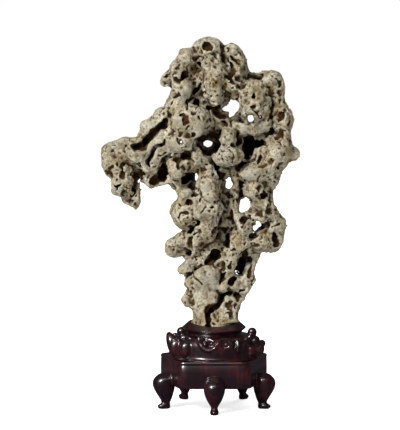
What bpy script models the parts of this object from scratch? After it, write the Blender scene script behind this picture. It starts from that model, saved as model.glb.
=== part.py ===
"""A scholar's rock, a pierced and furrowed limestone, standing in the socket of a carved five-legged
hardwood stand. Metres, +Z up, the viewer's side is -Y. The origin is on the floor, under the middle of
the outline of the two together.

The rock is laid out on a front drawing of 1.5 mm squares. A place on it is (column, row, depth): columns
run to the right, rows run down, and depth runs towards the viewer from the stand's axis. Across the
drawing lengths are in squares, and along the depth one unit is a little longer than a square."""

import math

import bmesh
import bpy
import numpy as np
from mathutils import Matrix, Vector, noise

# Driving dimensions, in metres.
OVERALL_HEIGHT = 0.5535
SQUARES_HIGH = 369
SQUARE = OVERALL_HEIGHT / SQUARES_HIGH
DEPTH_UNIT = 1.4 * SQUARE

# The drawing's sheet, in squares.
ORIGIN_COLUMN = 200.5
AXIS_COLUMN = 214.0
FLOOR_ROW = 406.0
SUMMIT_ROW = 37.0

# How the whole rock sways out of the drawing's plane, in depth units: the arm comes forward, the right
# flank turns back, and the body leans in and out down to the foot.
ARM_BEND = 8.0
ARM_COLUMNS = 110.0
FLANK_BEND = 7.0
LEAN = 6.0
LEAN_ROWS = 230.0
FOOT_ROW = 312.0
FOOT_ROWS = 60.0

# The stand, in metres, with heights above the floor and radii from its upright axis.
AXIS_X = (AXIS_COLUMN - ORIGIN_COLUMN) * SQUARE
AXIS_Y = 0.0073
SIDES = 5
DRUM_BOTTOM = 0.036
DRUM_TOP = 0.075
DRUM_APOTHEM = 0.0705
DRUM_ROUNDING = 12
LIP_HEIGHT = 0.0012
LIP_WIDTH = 0.0035
DRUM_EDGE = 0.0012
SOCKET_FLOOR = 0.108
SOCKET_FLOOR_RADIUS = 0.0330
COLLAR_TOP = 0.1293
COLLAR_TOP_RADIUS = 0.0365
MOULD_RADIUS = 0.0800
FIT_GAP = 0.0003

# A leg from the floor up: height, inner radius, outer radius and half width, in metres.
LEG_SECTIONS = (
    (0.0000, 0.0690, 0.0860, 0.0046),
    (0.0035, 0.0690, 0.0882, 0.0056),
    (0.0065, 0.0690, 0.0860, 0.0050),
    (0.0095, 0.0684, 0.0808, 0.0036),
    (0.0130, 0.0672, 0.0830, 0.0062),
    (0.0205, 0.0645, 0.0892, 0.0112),
    (0.0280, 0.0598, 0.0935, 0.0152),
    (0.0350, 0.0575, 0.0962, 0.0178),
    (0.0415, 0.0575, 0.0963, 0.0186),
    (0.0470, 0.0590, 0.0938, 0.0172),
    (0.0510, 0.0615, 0.0895, 0.0140),
    (0.0538, 0.0650, 0.0845, 0.0095),
    (0.0552, 0.0700, 0.0790, 0.0050),
)

# The turned body of the stand's top: (radius, height) from the lip down its outer side, in metres.
TOP_PROFILE = (
    (0.0368, 0.1290),
    (0.0420, 0.1255),
    (0.0478, 0.1192),
    (0.0462, 0.1172),
    (0.0395, 0.1135),
    (0.0400, 0.1105),
    (0.0520, 0.1095),
    (0.0585, 0.1060),
    (0.0620, 0.1000),
    (0.0635, 0.0900),
    (0.0640, 0.0820),
    (0.0670, 0.0753),
)

# The carving round it, as chains of (degrees round from the front, height, reach, half thickness), in
# metres but for the first. The reach is the distance from the axis to the chain's own middle.
CARVING = (
    # the horn and the ball on the left
    (
        (-82, 0.0800, 0.0590, 0.0070),
        (-84, 0.0920, 0.0640, 0.0075),
        (-86, 0.1020, 0.0665, 0.0060),
        (-80, 0.1070, 0.0650, 0.0042),
    ),
    ((-60, 0.1175, 0.0555, 0.0066),),
    ((-72, 0.1060, 0.0600, 0.0035), (-50, 0.1060, 0.0610, 0.0040), (-34, 0.1040, 0.0615, 0.0028)),
    ((-56, 0.0940, 0.0620, 0.0055),),
    ((-44, 0.0900, 0.0620, 0.0050),),
    # the curl round the front hollow, with its two beads
    (
        (-14, 0.1060, 0.0600, 0.0030),
        (-17, 0.0990, 0.0630, 0.0032),
        (-14, 0.0900, 0.0640, 0.0032),
        (-6, 0.0855, 0.0645, 0.0032),
        (1, 0.0890, 0.0640, 0.0028),
    ),
    ((-8, 0.0985, 0.0625, 0.0035),),
    ((0, 0.0985, 0.0625, 0.0032),),
    # the arch beside it
    (
        (4, 0.0980, 0.0630, 0.0026),
        (11, 0.1025, 0.0620, 0.0026),
        (20, 0.0990, 0.0630, 0.0026),
        (24, 0.0910, 0.0640, 0.0024),
    ),
    ((14, 0.0960, 0.0620, 0.0036),),
    # the pair of ribs and the two balls on the right
    ((24, 0.1040, 0.0600, 0.0030), (26, 0.0900, 0.0640, 0.0034)),
    ((34, 0.0960, 0.0620, 0.0030), (42, 0.1040, 0.0600, 0.0036)),
    ((52, 0.0920, 0.0615, 0.0050), (58, 0.1030, 0.0600, 0.0050)),
    ((70, 0.1130, 0.0590, 0.0062),),
    ((66, 0.0800, 0.0600, 0.0070), (70, 0.0940, 0.0655, 0.0075), (74, 0.1050, 0.0640, 0.0058)),
    ((80, 0.0800, 0.0600, 0.0055), (80, 0.0945, 0.0715, 0.0058)),
    # the back
    ((102, 0.0840, 0.0620, 0.0050), (108, 0.1010, 0.0620, 0.0055)),
    ((124, 0.1000, 0.0610, 0.0040), (136, 0.0900, 0.0635, 0.0040), (150, 0.0890, 0.0640, 0.0034)),
    ((140, 0.1050, 0.0590, 0.0055),),
    ((160, 0.0980, 0.0620, 0.0036),),
    ((172, 0.1040, 0.0600, 0.0032), (182, 0.0960, 0.0635, 0.0034), (196, 0.0940, 0.0640, 0.0030)),
    ((206, 0.1040, 0.0600, 0.0050),),
    ((222, 0.0840, 0.0620, 0.0044), (228, 0.1000, 0.0620, 0.0050)),
    ((248, 0.1010, 0.0610, 0.0040), (256, 0.0890, 0.0640, 0.0046)),
)

# The carved hollows between them: degrees round, height, half width and half height, in metres.
CARVED_HOLLOWS = (
    (-70, 0.0965, 0.0045, 0.0075),
    (-30, 0.0950, 0.0060, 0.0060),
    (-6, 0.0960, 0.0105, 0.0070),
    (13, 0.0945, 0.0075, 0.0055),
    (31, 0.0960, 0.0040, 0.0060),
    (66, 0.0950, 0.0060, 0.0060),
    (92, 0.0960, 0.0060, 0.0070),
    (116, 0.0900, 0.0060, 0.0060),
    (148, 0.0980, 0.0090, 0.0060),
    (188, 0.1010, 0.0080, 0.0045),
    (215, 0.0920, 0.0060, 0.0060),
    (240, 0.0930, 0.0060, 0.0070),
)

CARVED_HOLLOW_REACH = 0.066
CARVED_HOLLOW_HALF_DEPTH = 0.0065

# Ellipsoid masses of the rock: column, row, depth, then half width, half height and half depth.
MASSES = (
    # summit and its left shoulder
    (209, 52, 0, 17, 16, 15),
    (232, 57, -2, 12, 14.5, 14),
    (238, 68, -2, 10.5, 13, 12),
    (187, 59.5, 1, 11.5, 12, 13),
    (179.5, 74.5, 1, 13, 15, 13),
    (183, 92, 0, 12, 17, 14),
    (214, 80, 10, 13, 26, 14),
    (205, 82, -8, 21, 28, 15),
    (234, 84, 2, 12, 18, 16),
    # right lobe, its shelf and its horn
    (254, 102, 6, 17, 22, 15),
    (257, 96, -8, 18, 20, 14),
    (273, 82, -2, 12, 13, 12),
    (276, 96, -3, 9, 14, 12),
    (280, 118, -5, 14.5, 16, 15),
    (282, 134, 0, 10, 12, 14),
    (277, 151, 2, 17, 16, 17),
    (292, 154, 1, 9.5, 7.5, 8),
    (281, 163, 1, 8.5, 8, 10),
    # left neck and the arm's root
    (178, 107, 2, 12.5, 18, 14),
    (163.5, 119.5, 0, 12, 12.5, 13),
    (150.5, 130.5, -1, 12.5, 12.5, 12),
    (133, 146, -2, 14, 9, 12),
    (124, 143, -2, 8, 6, 9),
    (114.5, 153, 0, 13.5, 12, 12),
    (115, 165, 0, 13, 14, 12),
    (122, 177, 4, 11, 16, 10),
    (121, 188, 3, 11, 8, 9),
    (131.5, 196.5, 0, 9, 11, 8),
    (136, 203, 0, 5.5, 7, 5),
    (134, 180, -4, 7, 18, 8),
    (150, 160, -6, 17, 18, 11),
    (151, 181, -3, 8.5, 8.5, 9),
    (162, 179, -3, 10, 7, 10),
    (172, 171, -6, 13, 15, 14),
    (184, 182, -8, 15, 14, 12),
    (170, 156, -6, 10, 9, 10),
    # middle of the body
    (190, 122, 8, 22, 17, 15),
    (180, 143, 10, 15, 10, 11),
    (178, 166, 8, 10, 13, 12),
    (195, 160, 6, 14, 12, 14),
    (215, 118, -10, 28, 22, 14),
    (205, 150, -12, 26, 22, 15),
    (228, 155, 10, 15, 11, 13),
    (228, 136, 8, 8, 10, 12),
    (238, 150, -12, 30, 22, 14),
    (262, 150, -8, 18, 24, 15),
    (255, 173, 9, 17, 10, 13),
    (268, 166, 2, 14, 13, 14),
    (269, 178, -2, 11, 12, 13),
    (254, 189, 7, 10, 11, 12),
    (265, 196, -2, 8, 14, 11),
    (262, 205, 5, 12, 7, 11),
    (230, 180, -10, 26, 22, 13),
    (208, 185, 10, 11, 22, 14),
    (195, 200, -8, 17, 18, 14),
    (187, 196, 4, 11, 10, 12),
    # lower body
    (204, 208, 8, 18, 14, 14),
    (184, 214, 4, 14.5, 16, 14),
    (206, 226, 7, 12, 18, 14),
    (220, 215, -10, 28, 22, 14),
    (236, 210, 0, 10, 16, 12),
    (195, 240, 5, 11, 16, 12),
    (243, 228, 8, 9, 9, 11),
    (256, 216, 4, 12, 8, 12),
    (268, 213, 0, 12, 9, 12),
    (273, 227, 0, 15, 13, 14),
    (272, 240, 0, 13, 12.5, 13),
    (262, 246, 0, 8, 6.5, 9),
    (258, 241, 5, 11, 11, 12),
    (240, 242, 3, 14, 13, 13),
    (175, 247, 1, 12, 11, 10),
    (184, 240, 1, 9, 10, 10),
    (183, 250, 0, 8, 8, 9),
    (225, 240, -8, 28, 18, 12),
    # the trunk down to the socket
    (242, 266, -9, 9, 22, 8),
    (230, 262, 5, 10, 18, 11),
    (208, 262, 0, 18, 20, 13),
    (207, 278, 5, 14, 16, 13),
    (225, 285, 3, 14, 8, 13),
    (224, 298, -4, 12, 12, 12),
    (240, 287, -1, 12, 11, 12),
    (191, 282, 1, 7.5, 7, 9),
    (189, 299.5, 1, 8.5, 9, 9),
    (205, 302, 1, 15, 28, 15),
    (236, 299, -2, 8.5, 13, 11),
    (227, 314, 1, 12, 20, 15),
    (216, 326, 0, 26, 13, 17),
)

# Ridges and struts: the (column, row, depth, half thickness) points that each one runs through.
RIDGES = (
    # the right lobe's shelf
    ((243, 73, -6, 5), (254, 77, -8, 5.5), (266, 76, -8, 6)),
    # the left lobe's drooping tip
    ((164.5, 81, 2, 6), (171, 76, 3, 7), (178, 70, 2, 7)),
    # the arm's front rim, under its long furrow
    ((118, 154, 6, 8), (130, 157, 7, 6.5), (141, 160, 7, 6), (149, 167, 6, 6), (156, 174, 4, 5.5)),
    # the rib between the arm's two furrows
    ((139, 157, 6, 5), (148, 151, 7, 4.6), (155, 143, 8, 4.6), (166, 133, 9, 5.5), (178, 124, 9, 7)),
    # the rib right of the second furrow
    ((154, 170, 4, 5), (155, 161, 7, 5), (161, 151, 9, 5.5), (172, 142, 10, 8)),
    # the bar under the right lobe's window
    ((238, 124, 7, 5.5), (248, 129, 9, 5.5), (258, 126, 8, 6), (264, 122, 6, 7)),
    # the strut between the two windows of the right side
    ((236, 168, 3, 5.5), (238, 180, 1, 4.6), (238, 192, -2, 4.6), (235, 204, -2, 6)),
    # the drooping limb on the left
    ((182, 270, 2, 6.5), (190, 265, 4, 8), (199, 257, 5, 9), (207, 249, 5, 8.5), (216, 245, 3, 8)),
    # the strut down the right side
    ((255, 250, -1, 7.5), (250, 262, -1, 6.5), (248, 273, -1, 6), (247, 281, -1, 8.5)),
    # the back's ribs
    ((186, 70, -12, 7), (200, 96, -16, 8), (228, 112, -18, 8), (262, 118, -16, 8)),
    ((152, 140, -10, 7), (176, 148, -16, 8), (204, 168, -20, 8), (226, 196, -18, 9), (244, 236, -14, 8)),
    ((272, 160, -12, 7), (246, 178, -18, 8), (214, 212, -17, 9), (196, 244, -12, 8)),
    ((236, 246, -14, 7), (224, 272, -11, 8), (204, 300, -10, 7)),
)

# Hollows: column, row, depth, then half width, half height, half depth and a tilt in degrees, clockwise
# as drawn. A hollow whose half depth is large goes right through.
HOLLOWS = (
    # windows
    (230.5, 108, 0, 9.8, 7.7, 45, -40),
    (229.5, 114, 0, 3.2, 5, 45, 0),
    (208, 143, 0, 7, 4.6, 45, 0),
    (229, 183, 0, 4.6, 7.8, 45, 0),
    (243.5, 205.5, 0, 5.7, 8.5, 45, 25),
    (250, 118, 0, 4.4, 4.8, 45, 0),
    (258, 223, 0, 3.2, 4.2, 45, -40),
    (181, 141.5, 0, 2.8, 2.8, 45, 0),
    (196.7, 178.5, 0, 2.8, 4.8, 45, 0),
    # caves in front
    (210, 147, 14, 13, 12, 18, 0),
    (253, 142, 12, 12, 8, 18, 10),
    (247, 153, 14, 5, 8, 14, 0),
    (219, 112, 16, 9, 8, 14, 20),
    (234, 140, 16, 4, 8, 12, 0),
    (188, 178, 10, 9, 7, 10, -35),
    (163, 171, 8, 6, 9, 12, 0),
    (184, 155, 17, 8, 5, 10, 0),
    (217, 229, 17, 5.5, 9, 14, 20),
    (227, 240, 15, 4.5, 9, 12, 0),
    (213, 257, 14, 5, 10, 12, 45),
    (240, 264, 8, 7, 16, 12, 22),
    (190, 246, 12, 5, 12, 12, 0),
    (275, 239, 14, 4.5, 9, 12, -10),
    (254, 235, 17, 5, 4.5, 10, 0),
    (262, 195, 14, 6.5, 4.5, 12, 0),
    (233, 218, 14, 6, 13, 14, -10),
    (228, 195, 14, 6, 7, 12, 0),
    (206, 46, 13, 5.5, 5, 8, 0),
    (232, 69, 12, 3.5, 7, 12, 0),
    (256, 76, 2, 8, 6.5, 9, 0),
    (184, 118, 15, 4, 5.5, 8, -20),
    (254, 107, 20, 4, 3.5, 9, 30),
    (221, 47, 12, 4, 4, 6, 0),
    (109, 171, 10, 4, 5.5, 8, 0),
    (122, 170, 13, 3, 6, 8, 0),
    (183, 214, 17, 4.5, 3.5, 7, 0),
    (197, 222, 18, 3.5, 4, 8, 0),
    (224, 277, 15, 3.5, 4.5, 8, 0),
    (278, 133, 15, 5, 3, 8, -10),
    # caves at the back
    (222, 66, -17, 8, 10, 10, 20),
    (196, 92, -22, 7, 13, 9, 0),
    (262, 104, -22, 9, 9, 10, 0),
    (222, 130, -25, 12, 8, 11, -30),
    (166, 128, -14, 12, 6, 9, -35),
    (268, 152, -22, 10, 14, 11, 10),
    (190, 152, -25, 10, 12, 12, 0),
    (128, 166, -12, 7, 10, 8, 20),
    (213, 192, -24, 8, 14, 11, -20),
    (238, 222, -22, 12, 8, 11, 15),
    (196, 226, -20, 8, 10, 10, 0),
    (268, 226, -14, 7, 7, 8, 0),
    (214, 262, -14, 8, 14, 9, 25),
    (212, 298, -17, 6, 11, 8, 0),
)

# Furrows: the (column, row, depth, half width) points that each one runs through. They are deep slots.
FURROW_HALF_DEPTH = 14
FURROWS = (
    # the arm's long furrow
    ((135, 147, 13, 5), (143, 147, 12, 5), (149, 139, 12, 4.5), (156, 131, 13, 4.5), (165, 124, 15, 4)),
    # its neighbour
    ((145, 161, 14, 2.2), (151, 153, 14, 2.2), (157, 145, 16, 2.2), (167, 137, 19, 2)),
    # the gap beside the arm's hanging end
    ((134, 173, 11, 3), (136, 186, 9, 3), (136, 194, 9, 2.2)),
    # between the left lobe and the central column
    ((203, 58, 18, 3), (201, 74, 17, 5), (195, 89, 17, 5), (186, 102, 20, 2.5)),
    # the crescent in the left lobe
    ((177, 79, 17, 2.5), (183, 81, 17, 2.8), (187, 76, 17, 2.8), (187, 69, 17, 2.2)),
    # right of the central column
    ((229, 62, 18, 3), (233, 72, 18, 4), (227, 80, 19, 3.5)),
    ((239, 80, 22, 1.8), (240, 92, 22, 1.8)),
    # down from the first window
    ((220, 106, 18, 6), (213, 112, 19, 5), (226, 121, 19, 3), (232, 131, 20, 3)),
    # between the middle's lumps
    ((213, 160, 24, 2), (216, 170, 24, 2.5), (222, 188, 22, 3), (229, 208, 18, 4), (234, 226, 18, 3.5)),
    ((240, 160, 22, 2.5), (249, 157, 22, 3), (262, 146, 20, 3.5)),
    ((170, 190, 10, 3), (180, 184, 14, 3), (190, 184, 18, 3), (199, 189, 22, 2.5)),
    ((186, 204, 18, 2), (195, 222, 21, 3), (196, 234, 21, 3)),
    ((214, 208, 22, 2.2), (216, 222, 22, 4), (226, 236, 19, 4), (228, 250, 18, 3)),
    ((206, 265, 20, 3), (213, 257, 20, 5), (221, 249, 20, 3)),
    ((250, 230, 20, 3), (258, 232, 20, 3.5), (274, 236, 18, 3.5), (276, 246, 17, 2)),
    ((222, 264, 18, 3), (224, 277, 17, 4), (232, 284, 17, 3)),
    # the split foot
    (
        (238, 292, 14, 3),
        (230, 293, 16, 3),
        (221, 300, 19, 3),
        (212, 309, 20, 3),
        (208, 320, 21, 3),
        (208, 332, 21, 3),
    ),
    # the back's furrows
    ((200, 60, -27, 4), (214, 78, -29, 5), (236, 88, -29, 4)),
    ((160, 122, -23, 3.5), (180, 130, -28, 4), (206, 138, -31, 4.5), (232, 138, -32, 4)),
    ((172, 172, -28, 3.5), (186, 184, -30, 4), (200, 206, -30, 4.5), (206, 228, -28, 4)),
    ((284, 138, -26, 4), (262, 172, -29, 4), (250, 206, -28, 4), (258, 224, -25, 3)),
    ((210, 246, -26, 4), (230, 258, -26, 4.5), (238, 280, -24, 4)),
)

# The weathering of the rock's skin: the size and the depth of its swells and of its knocks, in metres.
WEATHER_SIZE = 0.024
WEATHER_DEPTH = 0.0030
KNOCK_SIZE = 0.009
KNOCK_DEPTH = 0.0020

# How finely the meshes are made. The chain spacing is a share of the chain's half thickness.
CHAIN_SPACING = 0.7
CARVING_STEPS = 8
TURNED_STEPS = 48
DRUM_SIDES = 40
LEG_SIDES = 14
MERGE = 0.00001
CARVED_VOXEL = 0.0012
ROCK_VOXEL = 0.0020
ROCK_TRIANGLES = 5700
TOP_TRIANGLES = 1350


def at(column, row, depth):
    """The point of a place on the drawing."""
    left = max(0.0, (AXIS_COLUMN - column) / ARM_COLUMNS)
    right = max(0.0, (column - AXIS_COLUMN) / ARM_COLUMNS)
    lean = -LEAN * math.cos(math.tau * (row - SUMMIT_ROW) / LEAN_ROWS)
    lean *= min(1.0, max(0.0, (FOOT_ROW - row) / FOOT_ROWS))
    depth += ARM_BEND * left**2 - FLANK_BEND * right**2 + lean
    x = (column - ORIGIN_COLUMN) * SQUARE
    return Vector((x, AXIS_Y - depth * DEPTH_UNIT, (FLOOR_ROW - row) * SQUARE))


def around(degrees, height, reach):
    """The point at a height and a distance from the stand's axis, turned from the front to the right."""
    turn = math.radians(degrees)
    return Vector((AXIS_X + reach * math.sin(turn), AXIS_Y - reach * math.cos(turn), height))


def ellipsoid(centre, halves, turn=None):
    """The placing of a unit ball as an ellipsoid, with its half sizes along X, Y and Z before it is turned."""
    sizes = Matrix.Diagonal(halves).to_4x4()
    return Matrix.Translation(centre) @ (turn or Matrix.Identity(4)) @ sizes


def mass(place, halves, tilt=0.0):
    """The placing of an ellipsoid of the drawing, tilted clockwise as drawn."""
    half_width, half_height, half_depth = halves
    sizes = (half_width * SQUARE, half_depth * DEPTH_UNIT, half_height * SQUARE)
    return ellipsoid(at(*place), sizes, Matrix.Rotation(math.radians(tilt), 4, "Y"))


def along_curve(points, spacing):
    """Walks a smooth curve through points, in steps of a share of each point's last number."""
    padded = [points[0], *points, points[-1]]
    walked = [Vector(points[0])]
    for before, start, end, after in zip(padded, padded[1:], padded[2:], padded[3:]):
        before, start, end, after = (Vector(point) for point in (before, start, end, after))
        length = (end - start).to_3d().length
        steps = max(1, math.ceil(length / (spacing * min(start[-1], end[-1]))))
        for step in range(1, steps + 1):
            t = step / steps
            place = start * (2 * t**3 - 3 * t**2 + 1)
            place += end * (3 * t**2 - 2 * t**3)
            place += (end - before) * (t**3 - 2 * t**2 + t) / 2
            place += (after - start) * (t**3 - t**2) / 2
            walked.append(place)
    return walked


def ridge(points):
    """The balls of a rounded ridge through (column, row, depth, half thickness) points."""
    walked = along_curve(points, CHAIN_SPACING)
    return [ellipsoid(at(column, row, depth), [half * SQUARE] * 3) for column, row, depth, half in walked]


def furrow(points):
    """The space of a furrow through (column, row, depth, half width) points."""
    walked = along_curve(points, CHAIN_SPACING)
    return [mass((column, row, depth), (half, half, FURROW_HALF_DEPTH)) for column, row, depth, half in walked]


def carving(points):
    """The balls of a carved chain through (degrees round, height, reach, half thickness) points."""
    balls = []
    for start, end in zip(points, points[1:] or points):
        for step in range(CARVING_STEPS + 1):
            turn, height, reach, half = Vector(start).lerp(Vector(end), step / CARVING_STEPS)
            balls.append(ellipsoid(around(turn, height, reach), [half] * 3))
    return balls


def add_balls(obj, placings):
    """Adds a ball to an object's mesh for each placing."""
    ball = bmesh.new()
    bmesh.ops.create_icosphere(ball, subdivisions=3, radius=1.0)
    points = np.array([(*vert.co, 1.0) for vert in ball.verts])
    faces = np.array([[vert.index for vert in face.verts] for face in ball.faces])
    ball.free()
    old = [tuple(vert.co) for vert in obj.data.vertices]
    old_faces = [tuple(polygon.vertices) for polygon in obj.data.polygons]
    placed = np.concatenate([points @ np.array(placing).T for placing in placings])[:, :3]
    joined = np.concatenate([faces + len(old) + number * len(points) for number in range(len(placings))])
    mesh = bpy.data.meshes.new(obj.name)
    mesh.from_pydata(old + placed.tolist(), [], old_faces + joined.tolist())
    obj.data = mesh


def add_loft(bm, rings):
    """Joins closed rings of equally many points into a capped tube, from the bottom ring up."""
    rows = [[bm.verts.new(point) for point in ring] for ring in rings]
    for lower, upper in zip(rows, rows[1:]):
        for here in range(len(lower)):
            there = (here + 1) % len(lower)
            bm.faces.new((lower[here], lower[there], upper[there], upper[here]))
    bm.faces.new(reversed(rows[0]))
    bm.faces.new(rows[-1])


def new_collection(name):
    collection = bpy.data.collections.new(name)
    bpy.context.scene.collection.children.link(collection)
    return collection


def new_object(name, bm, collection):
    mesh = bpy.data.meshes.new(name)
    bm.to_mesh(mesh)
    bm.free()
    made = bpy.data.objects.new(name, mesh)
    collection.objects.link(made)
    return made


def apply_modifiers(obj):
    graph = bpy.context.evaluated_depsgraph_get()
    mesh = bpy.data.meshes.new_from_object(obj.evaluated_get(graph))
    obj.modifiers.clear()
    obj.data = mesh


def fuse(obj, voxel):
    """Makes one skin of the shapes in an object."""
    remesh = obj.modifiers.new("fuse", "REMESH")
    remesh.mode = "VOXEL"
    remesh.voxel_size = voxel
    apply_modifiers(obj)


def cut_away(obj, cutter):
    """Cuts a cutter's shape out of an object."""
    cutter.hide_render = True
    cutter.display_type = "WIRE"
    cut = obj.modifiers.new("cut", "BOOLEAN")
    cut.object = cutter
    cut.operation = "DIFFERENCE"
    cut.solver = "EXACT"
    apply_modifiers(obj)


def thin_out(obj, triangles):
    """Reduces a mesh to about this many triangles."""
    bm = bmesh.new()
    bm.from_mesh(obj.data)
    bmesh.ops.triangulate(bm, faces=bm.faces)
    now = len(bm.faces)
    bm.to_mesh(obj.data)
    bm.free()
    decimate = obj.modifiers.new("thin", "DECIMATE")
    decimate.ratio = triangles / now
    apply_modifiers(obj)


def keep_largest(obj):
    """Deletes every loose body but the largest."""
    bm = bmesh.new()
    bm.from_mesh(obj.data)
    left = set(bm.verts)
    bodies = []
    while left:
        stack = [left.pop()]
        body = set(stack)
        while stack:
            for edge in stack.pop().link_edges:
                for vert in edge.verts:
                    if vert in left:
                        left.discard(vert)
                        body.add(vert)
                        stack.append(vert)
        bodies.append(body)
    largest = max(bodies, key=len)
    bmesh.ops.delete(bm, geom=[v for v in bm.verts if v not in largest], context="VERTS")
    bm.to_mesh(obj.data)
    bm.free()


def smooth(obj, times):
    bm = bmesh.new()
    bm.from_mesh(obj.data)
    for _ in range(times):
        bmesh.ops.smooth_vert(bm, verts=bm.verts, factor=0.5, use_axis_x=True, use_axis_y=True, use_axis_z=True)
    bm.to_mesh(obj.data)
    bm.free()


def add_turned(bm, outline):
    """Adds a closed turned body on the stand's axis, from (radius, height) points that start and end on it."""
    verts = [bm.verts.new((AXIS_X + radius, AXIS_Y, height)) for radius, height in outline]
    edges = [bm.edges.new(pair) for pair in zip(verts, verts[1:])]
    bmesh.ops.spin(
        bm,
        geom=verts + edges,
        cent=(AXIS_X, AXIS_Y, 0.0),
        axis=(0.0, 0.0, 1.0),
        angle=math.tau,
        steps=TURNED_STEPS,
        use_merge=True,
    )
    bmesh.ops.remove_doubles(bm, verts=bm.verts, dist=MERGE)
    bmesh.ops.recalc_face_normals(bm, faces=bm.faces)


def make_socket_space(collection):
    """The space that the rock's foot fills in the collar and a fit gap round it, open at the top."""
    high = COLLAR_TOP - SOCKET_FLOOR
    slope = (COLLAR_TOP_RADIUS - SOCKET_FLOOR_RADIUS) / high
    wide = SOCKET_FLOOR_RADIUS + FIT_GAP + slope * 2 * high
    floor = SOCKET_FLOOR - FIT_GAP
    bm = bmesh.new()
    outline = (
        (0.0, floor + 2 * high),
        (wide, floor + 2 * high),
        (SOCKET_FLOOR_RADIUS + FIT_GAP, floor),
        (0.0, floor),
    )
    add_turned(bm, outline)
    return new_object("socket_space", bm, collection)


def make_foot_mould(collection):
    """A thick cup round the socket, to shape the rock's foot."""
    outline = (
        (0.0, SOCKET_FLOOR),
        (SOCKET_FLOOR_RADIUS, SOCKET_FLOOR),
        (COLLAR_TOP_RADIUS, COLLAR_TOP),
        (MOULD_RADIUS, COLLAR_TOP),
        (MOULD_RADIUS, SOCKET_FLOOR - MOULD_RADIUS),
        (0.0, SOCKET_FLOOR - MOULD_RADIUS),
    )
    bm = bmesh.new()
    add_turned(bm, outline)
    return new_object("foot_mould", bm, collection)


def roughen(obj):
    """Weathers a skin with uneven swells and knocks."""
    bm = bmesh.new()
    bm.from_mesh(obj.data)
    bm.normal_update()
    moves = []
    for vert in bm.verts:
        swell = noise.noise(vert.co / WEATHER_SIZE)
        knock = noise.noise(vert.co / KNOCK_SIZE)
        moves.append(vert.normal * (WEATHER_DEPTH * swell + KNOCK_DEPTH * knock))
    for vert, move in zip(bm.verts, moves):
        vert.co += move
    bm.to_mesh(obj.data)
    bm.free()


def make_rock(collection, cutters):
    rock = new_object("rock", bmesh.new(), collection)
    solids = [mass(numbers[:3], numbers[3:]) for numbers in MASSES]
    for points in RIDGES:
        solids += ridge(points)
    add_balls(rock, solids)
    fuse(rock, ROCK_VOXEL)
    smooth(rock, 2)

    hollows = new_object("rock_hollows", bmesh.new(), cutters)
    spaces = [mass(numbers[:3], numbers[3:6], numbers[6]) for numbers in HOLLOWS]
    for points in FURROWS:
        spaces += furrow(points)
    add_balls(hollows, spaces)
    fuse(hollows, ROCK_VOXEL)
    cut_away(rock, hollows)
    fuse(rock, ROCK_VOXEL)
    keep_largest(rock)
    smooth(rock, 1)
    roughen(rock)
    thin_out(rock, ROCK_TRIANGLES)
    cut_away(rock, make_foot_mould(cutters))
    keep_largest(rock)
    return rock


def drum_radius(degrees):
    """The drum's plan, a pentagon with rounded corners and a side to the front."""
    total = 0.0
    for side in range(SIDES):
        facing = math.cos(math.radians(degrees - side * 360.0 / SIDES))
        total += max(0.0, facing / DRUM_APOTHEM) ** DRUM_ROUNDING
    return total ** (-1.0 / DRUM_ROUNDING)


def drum_ring(height, inset):
    """A level ring of the drum's plan, drawn in by an inset."""
    turns = [360.0 * step / DRUM_SIDES for step in range(DRUM_SIDES)]
    return [around(turn, height, drum_radius(turn) - inset) for turn in turns]


def make_drum(collection):
    soft = DRUM_EDGE
    top = DRUM_TOP + LIP_HEIGHT
    bm = bmesh.new()
    rings = (
        drum_ring(DRUM_BOTTOM, soft),
        drum_ring(DRUM_BOTTOM + soft, 0.0),
        drum_ring(top - soft / 2, 0.0),
        drum_ring(top, soft / 2),
        drum_ring(top, LIP_WIDTH - soft / 2),
        drum_ring(DRUM_TOP, LIP_WIDTH),
    )
    add_loft(bm, rings)
    return new_object("stand_drum", bm, collection)


def make_drum_notch(collection):
    """The space that the drum and a fit gap round it take out of the legs."""
    bm = bmesh.new()
    add_loft(bm, (drum_ring(DRUM_BOTTOM - FIT_GAP, -FIT_GAP), drum_ring(DRUM_TOP + FIT_GAP, -FIT_GAP)))
    return new_object("drum_notch", bm, collection)


def leg_ring(section):
    """A level oval section of the front leg."""
    height, inner, outer, half_width = section
    middle = (inner + outer) / 2
    half_reach = (outer - inner) / 2
    points = []
    for step in range(LEG_SIDES):
        turn = math.tau * step / LEG_SIDES
        x = AXIS_X + half_width * math.cos(turn)
        points.append(Vector((x, AXIS_Y - middle + half_reach * math.sin(turn), height)))
    return points


def make_legs(collection, cutters):
    """Five equal legs, one in the middle of each side of the drum, each notched to take it."""
    bm = bmesh.new()
    add_loft(bm, [leg_ring(section) for section in LEG_SECTIONS])
    front = new_object("leg_front", bm, collection)
    cut_away(front, make_drum_notch(cutters))
    keep_largest(front)
    names = ("leg_front", "leg_right", "leg_back_right", "leg_back_left", "leg_left")
    legs = []
    for number, name in enumerate(names):
        leg = front
        if number:
            leg = bpy.data.objects.new(name, front.data)
            collection.objects.link(leg)
        turn = Matrix.Rotation(number * math.tau / SIDES, 4, "Z")
        axis = Matrix.Translation((AXIS_X, AXIS_Y, 0.0))
        leg.matrix_world = axis @ turn @ axis.inverted()
        legs.append(leg)
    return legs


def make_space_below(height, collection):
    """The space under a level, to cut a flat underside."""
    bm = bmesh.new()
    add_turned(bm, ((0.0, height), (MOULD_RADIUS, height), (MOULD_RADIUS, DRUM_BOTTOM), (0.0, DRUM_BOTTOM)))
    return new_object("space_below", bm, collection)


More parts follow.
